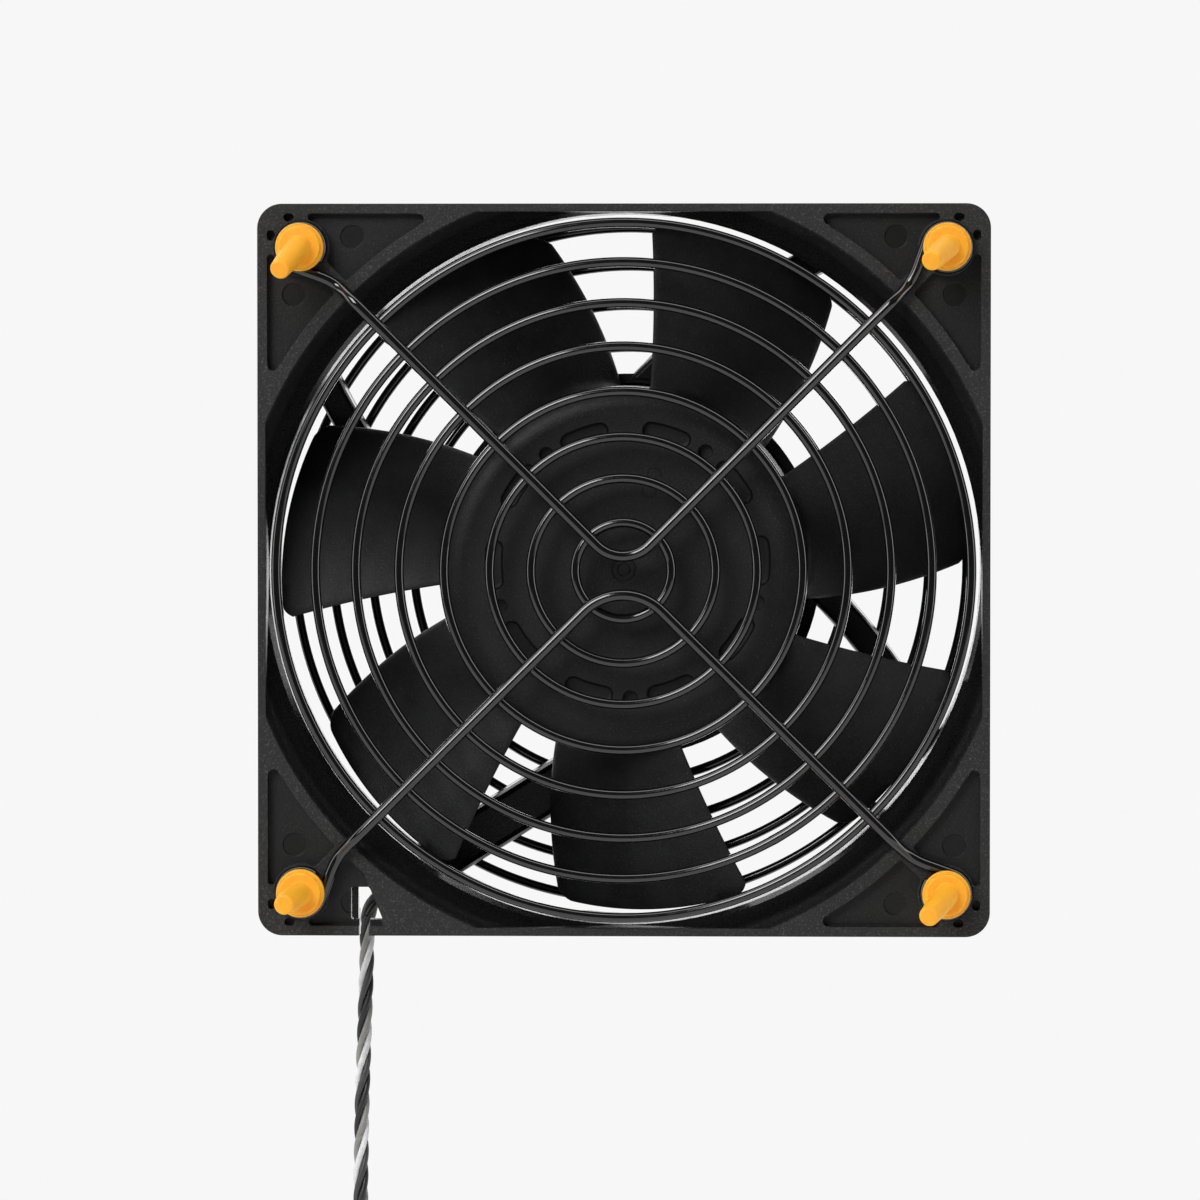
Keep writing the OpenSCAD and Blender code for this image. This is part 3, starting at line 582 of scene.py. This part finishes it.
# The wires' last stretch, where they part to the contacts, and how far they go into the housing
FAN_OUT, FAN_STEPS, CRIMP_DEPTH = 5.0, 12, 1.5
WIRE_STEP = 0.6
CONTACT_PITCH = 2.54


def placed(route):
    return [Vector((x, depth + FACE, z)) for x, depth, z in route]


def coil_path():
    """The put-away turns, two side by side and two deep, ending at the coil's right side."""
    found = []
    for i in range(COIL_STEPS + 1):
        gone = COIL_ANGLE * i / COIL_STEPS
        turn = min(int(gone / TAU), COIL_TURNS)
        if turn < COIL_TURNS:
            t = smooth_step(((gone - turn * TAU) / TAU - (1 - CELL_CHANGE)) / CELL_CHANGE)
        else:
            t = smooth_step((gone - turn * TAU) / math.radians(COIL_OVERLAP))
        here, there = COIL_CELLS[turn], COIL_CELLS[turn + 1]
        out, rear = (COIL_STACK * mix(a, b, t) for a, b in zip(here, there))
        if turn == 0:
            rear *= smooth_step(gone / COIL_EASE)
        angle = COIL_FROM - gone
        r = COIL_R + out
        found.append(COIL_MIDDLE + Vector((r * math.cos(angle), rear, r * math.sin(angle))))
    return found


def strands(path, phase):
    """Four wires twisted about a path, as lists of points, in the order of WIRES."""
    turning = [phase]
    for a, b in zip(path, path[1:]):
        turning.append(turning[-1] + TAU * (b - a).length / TWIST_PITCH)
    offset = WIRE_D / 2 * math.sqrt(2)
    found = [[] for _ in WIRES]
    u = Vector((1, 0, 0))
    for centre, along, turn in zip(path, headings(path), turning):
        u = (u - along * u.dot(along)).normalized()
        v = along.cross(u)
        for k, points in enumerate(found):
            a = turn + k * TAU / len(WIRES)
            points.append(centre + offset * (math.cos(a) * u + math.sin(a) * v))
    return found


def tube(path, radius, sides=10):
    """A round tube along any path, without a twist of its own."""
    u = Vector((0.3, 0.8, 0.52))
    rings = []
    for centre, along in zip(path, headings(path)):
        u = (u - along * u.dot(along)).normalized()
        v = along.cross(u)
        rings.append([centre + radius * (math.cos(a) * u + math.sin(a) * v)
                      for a in (TAU * k / sides for k in range(sides))])
    return skin(rings)


def wires(paths):
    """A shape of one tube for each wire, and a function that picks each face's wire."""
    shapes = [tube(p, WIRE_D / 2) for p in paths]
    ends = []
    for shape in shapes:
        ends.append(len(shape[1]) + (ends[-1] if ends else 0))
    return merged(*shapes), lambda face: sum(face >= end for end in ends)


def make_lead():
    inner = evenly(catmull(placed(INNER_ROUTE), 8), WIRE_STEP)
    outer = catmull([*placed(LEAD_ROUTE), *placed(COIL_ENTRY), *coil_path()[6::6]], 6)
    end = Vector((HOUSING_LOW.x + HOUSING_HIGH.x, HOUSING_LOW.y + HOUSING_HIGH.y, 0)) / 2
    end.z = HOUSING_HIGH.z
    outer = evenly([*outer, end + Vector((0, 0, FAN_OUT))], WIRE_STEP)
    line = [*inner[:-1], *outer]
    lines = strands(line, TWIST_START)
    split = len(inner) - 1
    shape, paint = wires([w[:split + 1] for w in lines])
    make_piece("inner_wires", shape, WIRES, "stator", ["inner_leads"], paint)
    shape, paint = wires([w[split:] for w in lines])
    lead = make_piece("lead_wires", shape, WIRES, "stator", ["lead", "lead_coil"], paint)
    order = sorted(range(len(WIRES)), key=lambda k: lines[k][-1].x)
    fans = []
    for k, points in enumerate(lines):
        slot_x = (order.index(k) - (len(WIRES) - 1) / 2) * CONTACT_PITCH
        fans.append([mix(points[-1], end + Vector((slot_x * smooth_step(t), 0, 0)), t)
                     for t in (i / FAN_STEPS for i in range(FAN_STEPS + 1))]
                    + [end + Vector((slot_x, 0, -CRIMP_DEPTH))])
    shape, paint = wires(fans)
    ends = make_piece("lead_ends", shape, WIRES, "stator", ["lead_end"], paint)
    return lead, ends, outer


lead, lead_ends, lead_line = make_lead()


def make_tie():
    """A cable tie round the coil: a thin band, its square head and the trimmed tail."""
    low, high = node_box("lead_tie")
    middle = (low + high) / 2
    outwards = (middle - COIL_MIDDLE).normalized()
    outwards.y = 0
    across = Vector((0, 1, 0))
    along = outwards.cross(across)
    turn = Matrix((outwards, across, along)).transposed().to_4x4()
    turn.translation = COIL_MIDDLE + outwards * COIL_R
    half_w, half_in, band = 1.3, 2.95, 0.6
    section = rounded([(0, -half_in), (half_in, -half_in), (half_in, half_in), (-half_in, half_in),
                       (-half_in, -half_in), (0, -half_in)], 1.1, 6)[:-1]
    rings = []
    for p in section:
        out = p.normalized()
        rings.append([Vector((p.x + out.x * d, p.y + out.y * d, w))
                      for d, w in ((0, -half_w), (band, -half_w + 0.15), (band, half_w - 0.15), (0, half_w))])
    loop = skin(rings, closed_along=True)
    head = block((half_in - 0.1, -2.1, -1.7), (half_in + 2.4, 1.6, 1.7), 0.25)
    tail = block((half_in + 0.5, 1.5, -1.1), (half_in + 1.3, 3.4, 1.1), 0.2)
    shape = moved(merged(loop, head, tail), turn)
    return make_piece("cable_tie", shape, LOOKS["tie_nylon"], "stator", ["lead_tie"])


tie = make_tie()


# ---- Guards ------------------------------------------------------------------------------------

RING_RADII = [7.8, 15, 21.7, 29.1, 36.4, 43.4, 50, 56.4]
# Angle of each ring's butt weld, where the wire is slightly swollen
RING_WELDS = [24, 5, 176, 75, 250, 119, 300, 205]
RING_WIRE = 1.6
STAY_WIRE = 1.9
RING_Y = FACE - 1.5
STAY_Y = RING_Y - (RING_WIRE + STAY_WIRE) / 2 + 0.15
EYE_Y = FACE - STAY_WIRE / 2
EYE_R = 3.45
EYE_TURN = math.radians(285)
# Each stay's place, the radius of its middle bend, and that bend's distance from the middle
STAY_BENDS = (("upper", 6, 2.4), ("lower", 9, 3.9))
HOLE_AT = 52.4
FAR = HOLE_AT * math.sqrt(2)
JOGGLE = (FAR - 13.4, FAR - 8)


def guard_ring(r, weld):
    """One ring of wire, closed by a butt weld."""
    steps = max(72, int(5 * r))
    path, radii = [], []
    for k in range(steps):
        a = TAU * k / steps
        away = abs((a - math.radians(weld) + math.pi) % TAU - math.pi) * r
        path.append(Vector((r * math.cos(a), RING_Y, r * math.sin(a))))
        swelling = 0.07 * math.exp(-((away / 0.8) ** 2))
        seam = 0.05 * math.exp(-((away / 0.15) ** 2))
        radii.append(RING_WIRE / 2 * (1 + swelling - seam))
    return sweep(path, radii, 16, closed=True)


def stay_end(side):
    """One leg's end, as (along the diagonal, across it, y): a joggle to the face, then the pin's eye."""
    lean = math.acos(EYE_R / (FAR - JOGGLE[1]))
    eye = [side * (math.pi - lean - EYE_TURN * i / 56) for i in range(57)]
    eye = [(FAR + EYE_R * math.cos(a), EYE_R * math.sin(a)) for a in eye]
    flat = rounded([(JOGGLE[0], 0), (JOGGLE[1], 0, 15), eye[0]], 15, 8)[:-1]
    leg = [flat[0].lerp(flat[1], i / 4) for i in range(4)] + flat[1:]
    points = []
    for p in [*leg, *map(Vector, eye)]:
        t = smooth_step((p.x - JOGGLE[0]) / (JOGGLE[1] - JOGGLE[0]))
        points.append((p.x, p.y, mix(STAY_Y, EYE_Y, t)))
    return points


def guard_stay(bend_r, gap, up):
    """A V of thicker wire: two legs on the diagonals, a round bend by the middle, an eye at each end."""
    s = math.sqrt(0.5)
    right = [Vector(((a - c) * s, y, (a + c) * s)) for a, c, y in stay_end(1)]
    left = [Vector((-(a - c) * s, y, (a + c) * s)) for a, c, y in stay_end(-1)]
    middle = gap + bend_r
    bend = []
    for i in range(25):
        a = math.radians(225 + 90 * i / 24)
        bend.append(Vector((bend_r * math.cos(a), STAY_Y, middle + bend_r * math.sin(a))))
    path = [*reversed(left), *bend, *right]
    if not up:
        path = [Vector((-p.x, p.y, -p.z)) for p in path]
    # Long straight legs get points of their own, and both wire ends are rounded
    full = [path[0]]
    for a, b in zip(path, path[1:]):
        count = max(1, round((b - a).length / 3))
        full += [a.lerp(b, i / count) for i in range(1, count + 1)]
    first, last = full[0], full[-1]
    start_way, end_way = (full[0] - full[1]).normalized(), (full[-1] - full[-2]).normalized()
    caps = [(0.98, 0.12), (0.86, 0.25), (0.5, 0.34)]
    head = [first + start_way * out for _, out in reversed(caps)]
    tail = [last + end_way * out for _, out in caps]
    radii = [r for r, _ in reversed(caps)] + [1.0] * len(full) + [r for r, _ in caps]
    return sweep([*head, *full, *tail], [STAY_WIRE / 2 * r for r in radii], 18)


def weld_fillets(bend_r, gap, up):
    """Small melted saddles where a stay's legs lie on the rings."""
    shapes = []
    s = math.sqrt(0.5)
    centre = gap + bend_r - bend_r * math.sqrt(2)
    for r in RING_RADII[1:]:
        # The legs run along the lines z = centre + |x|
        x = (-centre + math.sqrt(2 * r * r - centre * centre)) / 2
        for side in (-1, 1):
            place = Vector((side * x, 0, centre + x)) * (1 if up else -1)
            place.y = RING_Y - RING_WIRE / 2
            along = Vector((side * s, 0, s))
            ball = turned([(0.98 * math.sin(a), -0.62 * math.cos(a)) for a in
                           (math.pi * i / 8 for i in range(9))], 14)
            spread = Matrix.Translation(place) @ along.to_track_quat("X", "Y").to_matrix().to_4x4()
            shapes.append(moved(ball, spread))
    return merged(*shapes)


def make_guard(face, turn):
    """One face's guard. turn puts a shape made for the intake face where it belongs."""
    rings = merged(*[guard_ring(r, weld) for r, weld in zip(RING_RADII, RING_WELDS)])
    coat = LOOKS["guard_coating"]
    node = face + "_guard_rings"
    make_piece(face + "_guard_ring_wires", turn(rings), coat, "stator", [node])
    for place, bend_r, gap in STAY_BENDS:
        up = place == "upper"
        shape = merged(guard_stay(bend_r, gap, up), weld_fillets(bend_r, gap, up))
        node = face + "_guard_" + place + "_stay"
        make_piece(node + "_wire", turn(shape), coat, "stator", [node])


make_guard("front", lambda shape: shape)
make_guard("rear", on_rear)


# ---- Mounting pins -----------------------------------------------------------------------------

DISC_T, DISC_R = 1.0, 3.35
COLLAR_T, COLLAR_R = 1.7, 3.9
STUB_R, STUB_TIP_R, STUB_LENGTH = 1.85, 1.6, 8.5
SHANK_R, HEAD_R, HEAD_LENGTH = 2.2, 3.3, 3.0
FLANGE_T = 4.6
# How far each soft stub's tip hangs out of line: to the right, and up
STUB_LEANS = {
    "top_left": (-2.5, -3.9), "top_right": (-2.8, -2.5),
    "bottom_right": (-3.1, -2.9), "bottom_left": (-2.0, -1.2),
}
REAR_LEANS = {"left": (-0.8, -1.6), "right": (1.1, -1.6)}
# The share of its length over which a stub bends away from the collar
STUB_BEND = 0.08


def mounting_pin(x, z, lean):
    """A soft pin: a barbed head behind the flange, a collar on the guard's eye, and the bent stub."""
    under = FACE - 0.02
    head = FACE + FLANGE_T
    outline = rounded([
        (0.0, head + HEAD_LENGTH), (SHANK_R - 0.3, head + HEAD_LENGTH, 0.6), (HEAD_R, head + 0.7, 0.4),
        (HEAD_R - 0.1, head, 0.25), (SHANK_R, head, 0.2), (SHANK_R, under - 1.8, 0.15),
        (COLLAR_R, DISC_T + COLLAR_T, 0.45), (COLLAR_R, DISC_T, 0.5), (DISC_R + 0.1, DISC_T, 0.12),
        (DISC_R, 0.0, 0.3), (STUB_R + 0.05, 0.0, 0.2), (STUB_R, -STUB_LENGTH * 0.6, 2.0),
        (STUB_TIP_R, -STUB_LENGTH, 0.4), (0.0, -STUB_LENGTH),
    ], 0.3, 5)
    profile = []
    for a, b in zip(outline, outline[1:]):
        count = max(1, int((b - a).length / 0.6))
        profile += [a.lerp(b, i / count) for i in range(count)]
    profile.append(outline[-1])

    def place(y):
        out = max(0.0, -y) / STUB_LENGTH
        held = math.exp(-out / STUB_BEND)
        share = (out - STUB_BEND * (1 - held)) / (1 - STUB_BEND)
        slope = (1 - held) / (1 - STUB_BEND) / STUB_LENGTH
        centre = Vector((x + lean[0] * share, y, z + lean[1] * share))
        along = Vector((-lean[0] * slope, 1, -lean[1] * slope)).normalized()
        u = (Vector((1, 0, 0)) - along * along.x).normalized()
        return centre, u, u.cross(along)

    return turned([(p.x, p.y) for p in profile], 48, place)


def make_pins():
    for corner in CORNERS:
        low, high = node_box("front_pin_" + corner)
        x, z = (low.x + high.x) / 2, (low.z + high.z) / 2
        pin = mounting_pin(x, z, STUB_LEANS[corner])
        make_piece("front_mounting_pin_" + corner, pin, LOOKS["orange_silicone"], "stator",
                   ["front_pin_" + corner])
        low, high = node_box("rear_pin_" + corner)
        x, z = (low.x + high.x) / 2, (low.z + high.z) / 2
        pin = on_rear(mounting_pin(-x, z, REAR_LEANS["right" if x > 0 else "left"]))
        make_piece("rear_mounting_pin_" + corner, pin, LOOKS["orange_silicone"], "stator",
                   ["rear_pin_" + corner])


make_pins()


# ---- Impeller ----------------------------------------------------------------------------------

BLADE_COUNT = 7
HUB_R, TIP_R = 30.0, 56.3
HUB_BACK = 32.4
CUP_WALL, SHOULDER_R = 1.6, 5.0
BUSH_R = 4.4
BLADE_START, ROOT_SPAN, TIP_SPAN, BLADE_SWEEP = 133.4, 41.0, 33.0, 3.6
ROOT_DEPTHS, TIP_DEPTHS = (7.0, 30.0), (9.0, 27.5)
BLADE_CAMBER = 0.42
ROOT_T, TIP_T, EDGE_T = 2.3, 1.5, 0.7
ROOT_FILLET = 1.6
CHORD_STEPS, SPAN_STEPS = 44, 26
# The ring of putty slots, which is moulded a little off the axis
SLOT_MIDDLE, SLOT_R, SLOT_HALF = (0.6, 1.15), 21.85, 1.4
SLOT_COUNT, SLOT_START, SLOT_SPAN = 10, 1, 14
HOLE_COUNT, HOLE_START = 5, 55
# Fine rings sunk in the hub's face: (x, z, radius, groove radius, steps)
FACE_MARKS = [
    (0, 0, 1.0, 0.14, 40), (0, 0, 1.9, 0.14, 40), (5.0, 15.4, 1.1, 0.1, 32), (4.2, 12.9, 1.1, 0.1, 32),
]


def blade_half_t(u, thick):
    """Half the blade's thickness at a share u of its chord."""
    edge = min(u, 1 - u) / 0.04
    ends = math.sqrt(1 - (1 - edge) ** 2) if edge < 1 else 1.0
    return 0.5 * ends * (EDGE_T + (thick - EDGE_T) * math.sin(math.pi * u ** 0.8))


def blade_point(v, u, side, thin=1.0):
    """A point of the blade: v from hub to tip, u from leading to trailing edge, side 1 or -1."""
    corner = 1.5 * max(0.0, 1 - u / 0.07) ** 2 + 1.6 * max(0.0, 1 - (1 - u) / 0.07) ** 2
    r = mix(HUB_R - 1, TIP_R - corner, v)
    across = (r - HUB_R) / (TIP_R - HUB_R)
    span = mix(ROOT_SPAN, TIP_SPAN, across)
    arc = math.radians(span) * r
    front = mix(ROOT_DEPTHS[0], TIP_DEPTHS[0], across)
    deep = mix(ROOT_DEPTHS[1], TIP_DEPTHS[1], across) - front
    slope = deep * (1 - BLADE_CAMBER + 2 * BLADE_CAMBER * u)
    run = math.hypot(arc, slope)
    near = max(0.0, 1 - max(0.0, r - HUB_R + 0.25) / ROOT_FILLET)
    fillet = ROOT_FILLET * (1 - math.sqrt(max(0.0, 1 - near * near))) * min(1.0, 6 * min(u, 1 - u))
    half = side * (thin * blade_half_t(u, mix(ROOT_T, TIP_T, across)) + 0.85 * fillet)
    s = arc * u - half * slope / run
    depth = front + deep * ((1 - BLADE_CAMBER) * u + BLADE_CAMBER * u * u) + half * arc / run
    angle = math.radians(BLADE_START + BLADE_SWEEP * across) - s / r
    return Vector((r * math.cos(angle), depth + FACE, r * math.sin(angle)))


def blade():
    """One blade as a closed skin, its rows closer together by the root and at the rounded tip."""
    shares = [(1 - math.cos(math.pi * i / CHORD_STEPS)) / 2 for i in range(CHORD_STEPS + 1)]
    rings = []
    for j in range(SPAN_STEPS + 1):
        v = (j / SPAN_STEPS) ** 1.5
        there = [blade_point(v, u, 1) for u in shares]
        back = [blade_point(v, u, -1) for u in reversed(shares[1:-1])]
        rings.append(there + back)
    for out, thin in ((0.0035, 0.85), (0.006, 0.6), (0.0075, 0.3)):
        there = [blade_point(1 + out, u, 1, thin) for u in shares]
        back = [blade_point(1 + out, u, -1, thin) for u in reversed(shares[1:-1])]
        rings.append(there + back)
    points, faces = skin(rings, caps=False)
    sides = len(rings[0])
    for start, flip in ((0, False), ((len(rings) - 1) * sides, True)):
        for i in range(CHORD_STEPS):
            face = [start + i, start + i + 1, start + (sides - i - 1) % sides, start + (sides - i) % sides]
            face = list(dict.fromkeys(face))
            faces.append(face if flip else face[::-1])
    return points, faces


def hub_cup():
    """The hub: an open cup with a round shoulder and a hole for the bush behind its face."""
    outer, inner = HUB_R, HUB_R - CUP_WALL
    front, back = FACE + HUB_DEPTH, FACE + HUB_BACK
    return turned(rounded([
        (0, front), (outer, front, SHOULDER_R), (outer, back, 0.3), (inner, back, 0.3),
        (inner, front + CUP_WALL, SHOULDER_R - CUP_WALL), (BUSH_R, front + CUP_WALL, 0.05),
        (BUSH_R, front + 0.6, 0.05), (0, front + 0.6),
    ], 0.3, 12), 192)


def around(middle, r, angle, y):
    """A point at a radius and angle about a middle (x, z)."""
    return Vector((middle[0] + r * math.cos(angle), y, middle[1] + r * math.sin(angle)))


def hub_cutters():
    """Shallow round-ended arcs and blind holes for balancing putty, and the fine rings."""
    front = FACE + HUB_DEPTH
    shapes = []
    for k in range(SLOT_COUNT):
        middle, half = math.radians(SLOT_START + 360 / SLOT_COUNT * k), math.radians(SLOT_SPAN / 2)
        line = [middle - half + 2 * half * i / 14 for i in range(15)]
        bow = [math.pi * i / 8 for i in range(1, 8)]
        rings = []
        for out, y in ((1.06, front - 1), (1.06, front), (1.0, front + 0.15), (0.96, front + 0.7),
                       (0.8, front + 1.0), (0.4, front + 1.1)):
            w = SLOT_HALF * out
            ring = [(SLOT_R + w, a) for a in line]
            ring += [(SLOT_R + w * math.cos(b), line[-1] + w * math.sin(b) / SLOT_R) for b in bow]
            ring += [(SLOT_R - w, a) for a in reversed(line)]
            ring += [(SLOT_R - w * math.cos(b), line[0] - w * math.sin(b) / SLOT_R) for b in bow]
            rings.append([around(SLOT_MIDDLE, r, a, y) for r, a in ring])
        shapes.append(skin(rings))
    for k in range(HOLE_COUNT):
        hole = turned([(0, front - 1), (1.25, front - 1), (1.25, front), (1.15, front + 0.15),
                       (1.1, front + 1.2), (0, front + 1.3)], 24)
        place = around(SLOT_MIDDLE, SLOT_R + 0.2, math.radians(HOLE_START + 360 / HOLE_COUNT * k), 0)
        shapes.append(moved(hole, Matrix.Translation(place)))
    for x, z, r, bead, steps in FACE_MARKS:
        ring = [around((x, z), r, TAU * k / steps, front) for k in range(steps)]
        shapes.append(sweep(ring, bead, 8, closed=True))
    return merged(*shapes)


def cut(piece, shape):
    """Cuts a shape out of a piece."""
    cutter = make_piece("cutter", shape, LOOKS["impeller_plastic"], "rotor")
    boolean = piece.modifiers.new("cut", "BOOLEAN")
    boolean.operation, boolean.solver, boolean.object = "DIFFERENCE", "EXACT", cutter
    applied(piece)
    bpy.data.objects.remove(cutter)


def applied(piece):
    """Makes the modifiers' result the piece's own mesh."""
    evaluated = piece.evaluated_get(bpy.context.evaluated_depsgraph_get())
    mesh = bpy.data.meshes.new_from_object(evaluated)
    piece.modifiers.clear()
    piece.data = mesh


def make_impeller():
    plastic = LOOKS["impeller_plastic"]
    hub = make_piece("impeller_hub", hub_cup(), plastic, "rotor", ["impeller"])
    cut(hub, hub_cutters())
    for face in hub.data.polygons:
        if face.normal.y < -0.999:
            face.use_smooth = False
    spoke = blade()
    shapes = [moved(spoke, Matrix.Rotation(TAU * k / BLADE_COUNT, 4, "Y")) for k in range(BLADE_COUNT)]
    make_piece("impeller_blades", merged(*shapes), plastic, "rotor", ["impeller"])


make_impeller()


# ---- Finishes for the CAD pieces that stay ------------------------------------------------------

def finish_nodes():
    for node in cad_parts.values():
        if not node.hide_render:
            look = LOOKS.get(node.data.materials[0].name)
            if look:
                node.data.materials[0] = look


finish_nodes()


# ---- Stage and light ---------------------------------------------------------------------------

WHITE = 0.93
FLOOR_Z = node_box("connector_housing")[0].z - 1.5
FLOOR_R = 900
# Where the floor fades, in metres from its middle, and how white it is within
FLOOR_FADE, FLOOR_WHITENESS = (0.05, 0.38), 0.35
# The surroundings' brightness by direction, and the Y of the directions where one gives way to the next
FRONT_LIGHT, RING_LIGHT, SIDE_LIGHT, BACK_LIGHT = 0.06, 2.9, 0.12, 0.9
FRONT_TO_RING, RING_TO_SIDE, SIDE_TO_BACK = (-0.4, -0.32), (-0.12, -0.02), (0.45, 0.65)


def make_world():
    """White surroundings as the camera sees them. The fan's light comes from a dark front, a bright
    ring round that front's edge, dim sides and a pale back."""
    world = bpy.data.worlds.new("studio")
    world.use_nodes = True
    bpy.context.scene.world = world
    nodes, links = world.node_tree.nodes, world.node_tree.links

    def stepped(low, high, change, before):
        """Adds a change to a level where the direction's Y is beyond low to high."""
        step = nodes.new("ShaderNodeMapRange")
        step.interpolation_type = "SMOOTHSTEP"
        step.inputs["From Min"].default_value, step.inputs["From Max"].default_value = low, high
        step.inputs["To Max"].default_value = change
        links.new(parts.outputs["Y"], step.inputs["Value"])
        total = nodes.new("ShaderNodeMath")
        links.new(step.outputs["Result"], total.inputs[0])
        if isinstance(before, float):
            total.inputs[1].default_value = before
        else:
            links.new(before, total.inputs[1])
        return total.outputs[0]

    places = nodes.new("ShaderNodeTexCoord")
    parts = nodes.new("ShaderNodeSeparateXYZ")
    links.new(places.outputs["Generated"], parts.inputs[0])
    level = stepped(*FRONT_TO_RING, RING_LIGHT - FRONT_LIGHT, FRONT_LIGHT)
    level = stepped(*RING_TO_SIDE, SIDE_LIGHT - RING_LIGHT, level)
    level = stepped(*SIDE_TO_BACK, BACK_LIGHT - SIDE_LIGHT, level)
    room = nodes["Background"]
    links.new(level, room.inputs["Strength"])
    room.inputs["Color"].default_value = (1, 1, 1, 1)
    seen = nodes.new("ShaderNodeBackground")
    seen.inputs["Color"].default_value = (WHITE, WHITE, WHITE, 1)
    path = nodes.new("ShaderNodeLightPath")
    join = nodes.new("ShaderNodeMixShader")
    links.new(path.outputs["Is Camera Ray"], join.inputs[0])
    links.new(room.outputs[0], join.inputs[1])
    links.new(seen.outputs[0], join.inputs[2])
    links.new(join.outputs[0], nodes["World Output"].inputs["Surface"])


def make_floor():
    """A round pale floor that fades into the white surroundings."""
    mesh = bpy.data.meshes.new("floor")
    disc = bmesh.new()
    bmesh.ops.create_circle(disc, cap_ends=True, segments=96, radius=FLOOR_R * MM)
    disc.to_mesh(mesh)
    disc.free()
    look = bpy.data.materials.new("floor")
    look.use_nodes = True
    nodes, links = look.node_tree.nodes, look.node_tree.links
    paper = nodes["Principled BSDF"]
    paper.inputs["Base Color"].default_value = (0.8, 0.8, 0.8, 1)
    paper.inputs["Roughness"].default_value = 0.9
    glow = nodes.new("ShaderNodeEmission")
    glow.inputs["Color"].default_value = (WHITE, WHITE, WHITE, 1)
    places = nodes.new("ShaderNodeTexCoord")
    far = nodes.new("ShaderNodeVectorMath")
    far.operation = "LENGTH"
    fade = nodes.new("ShaderNodeMapRange")
    fade.interpolation_type = "SMOOTHSTEP"
    fade.inputs["From Min"].default_value, fade.inputs["From Max"].default_value = FLOOR_FADE
    fade.inputs["To Min"].default_value = FLOOR_WHITENESS
    join = nodes.new("ShaderNodeMixShader")
    links.new(places.outputs["Object"], far.inputs[0])
    links.new(far.outputs["Value"], fade.inputs["Value"])
    links.new(fade.outputs["Result"], join.inputs[0])
    links.new(paper.outputs[0], join.inputs[1])
    links.new(glow.outputs[0], join.inputs[2])
    links.new(join.outputs[0], nodes["Material Output"].inputs["Surface"])
    mesh.materials.append(look)
    floor = bpy.data.objects.new("floor", mesh)
    floor.location = (0, 0, FLOOR_Z * MM)
    bpy.context.scene.collection.objects.link(floor)


def softbox(name, place, size, brightness):
    """A rectangular lamp at a place in metres, aimed at the fan. brightness is its face's radiance."""
    data = bpy.data.lights.new(name, "AREA")
    data.shape = "RECTANGLE"
    data.size, data.size_y = size
    data.energy = brightness * math.pi * size[0] * size[1]
    lamp = bpy.data.objects.new(name, data)
    lamp.location = place
    lamp.rotation_mode = "QUATERNION"
    lamp.rotation_quaternion = (Vector((0, 0.02, 0)) - Vector(place)).to_track_quat("-Z", "Z")
    lamp.visible_camera = False
    bpy.context.scene.collection.objects.link(lamp)


make_world()
make_floor()
softbox("key", (-0.75, -1.45, 0.9), (0.9, 0.9), 8.4)
softbox("behind", (0, 1.6, 0.3), (2.4, 2.0), 1.6)
bpy.context.scene.view_settings.view_transform = "Standard"
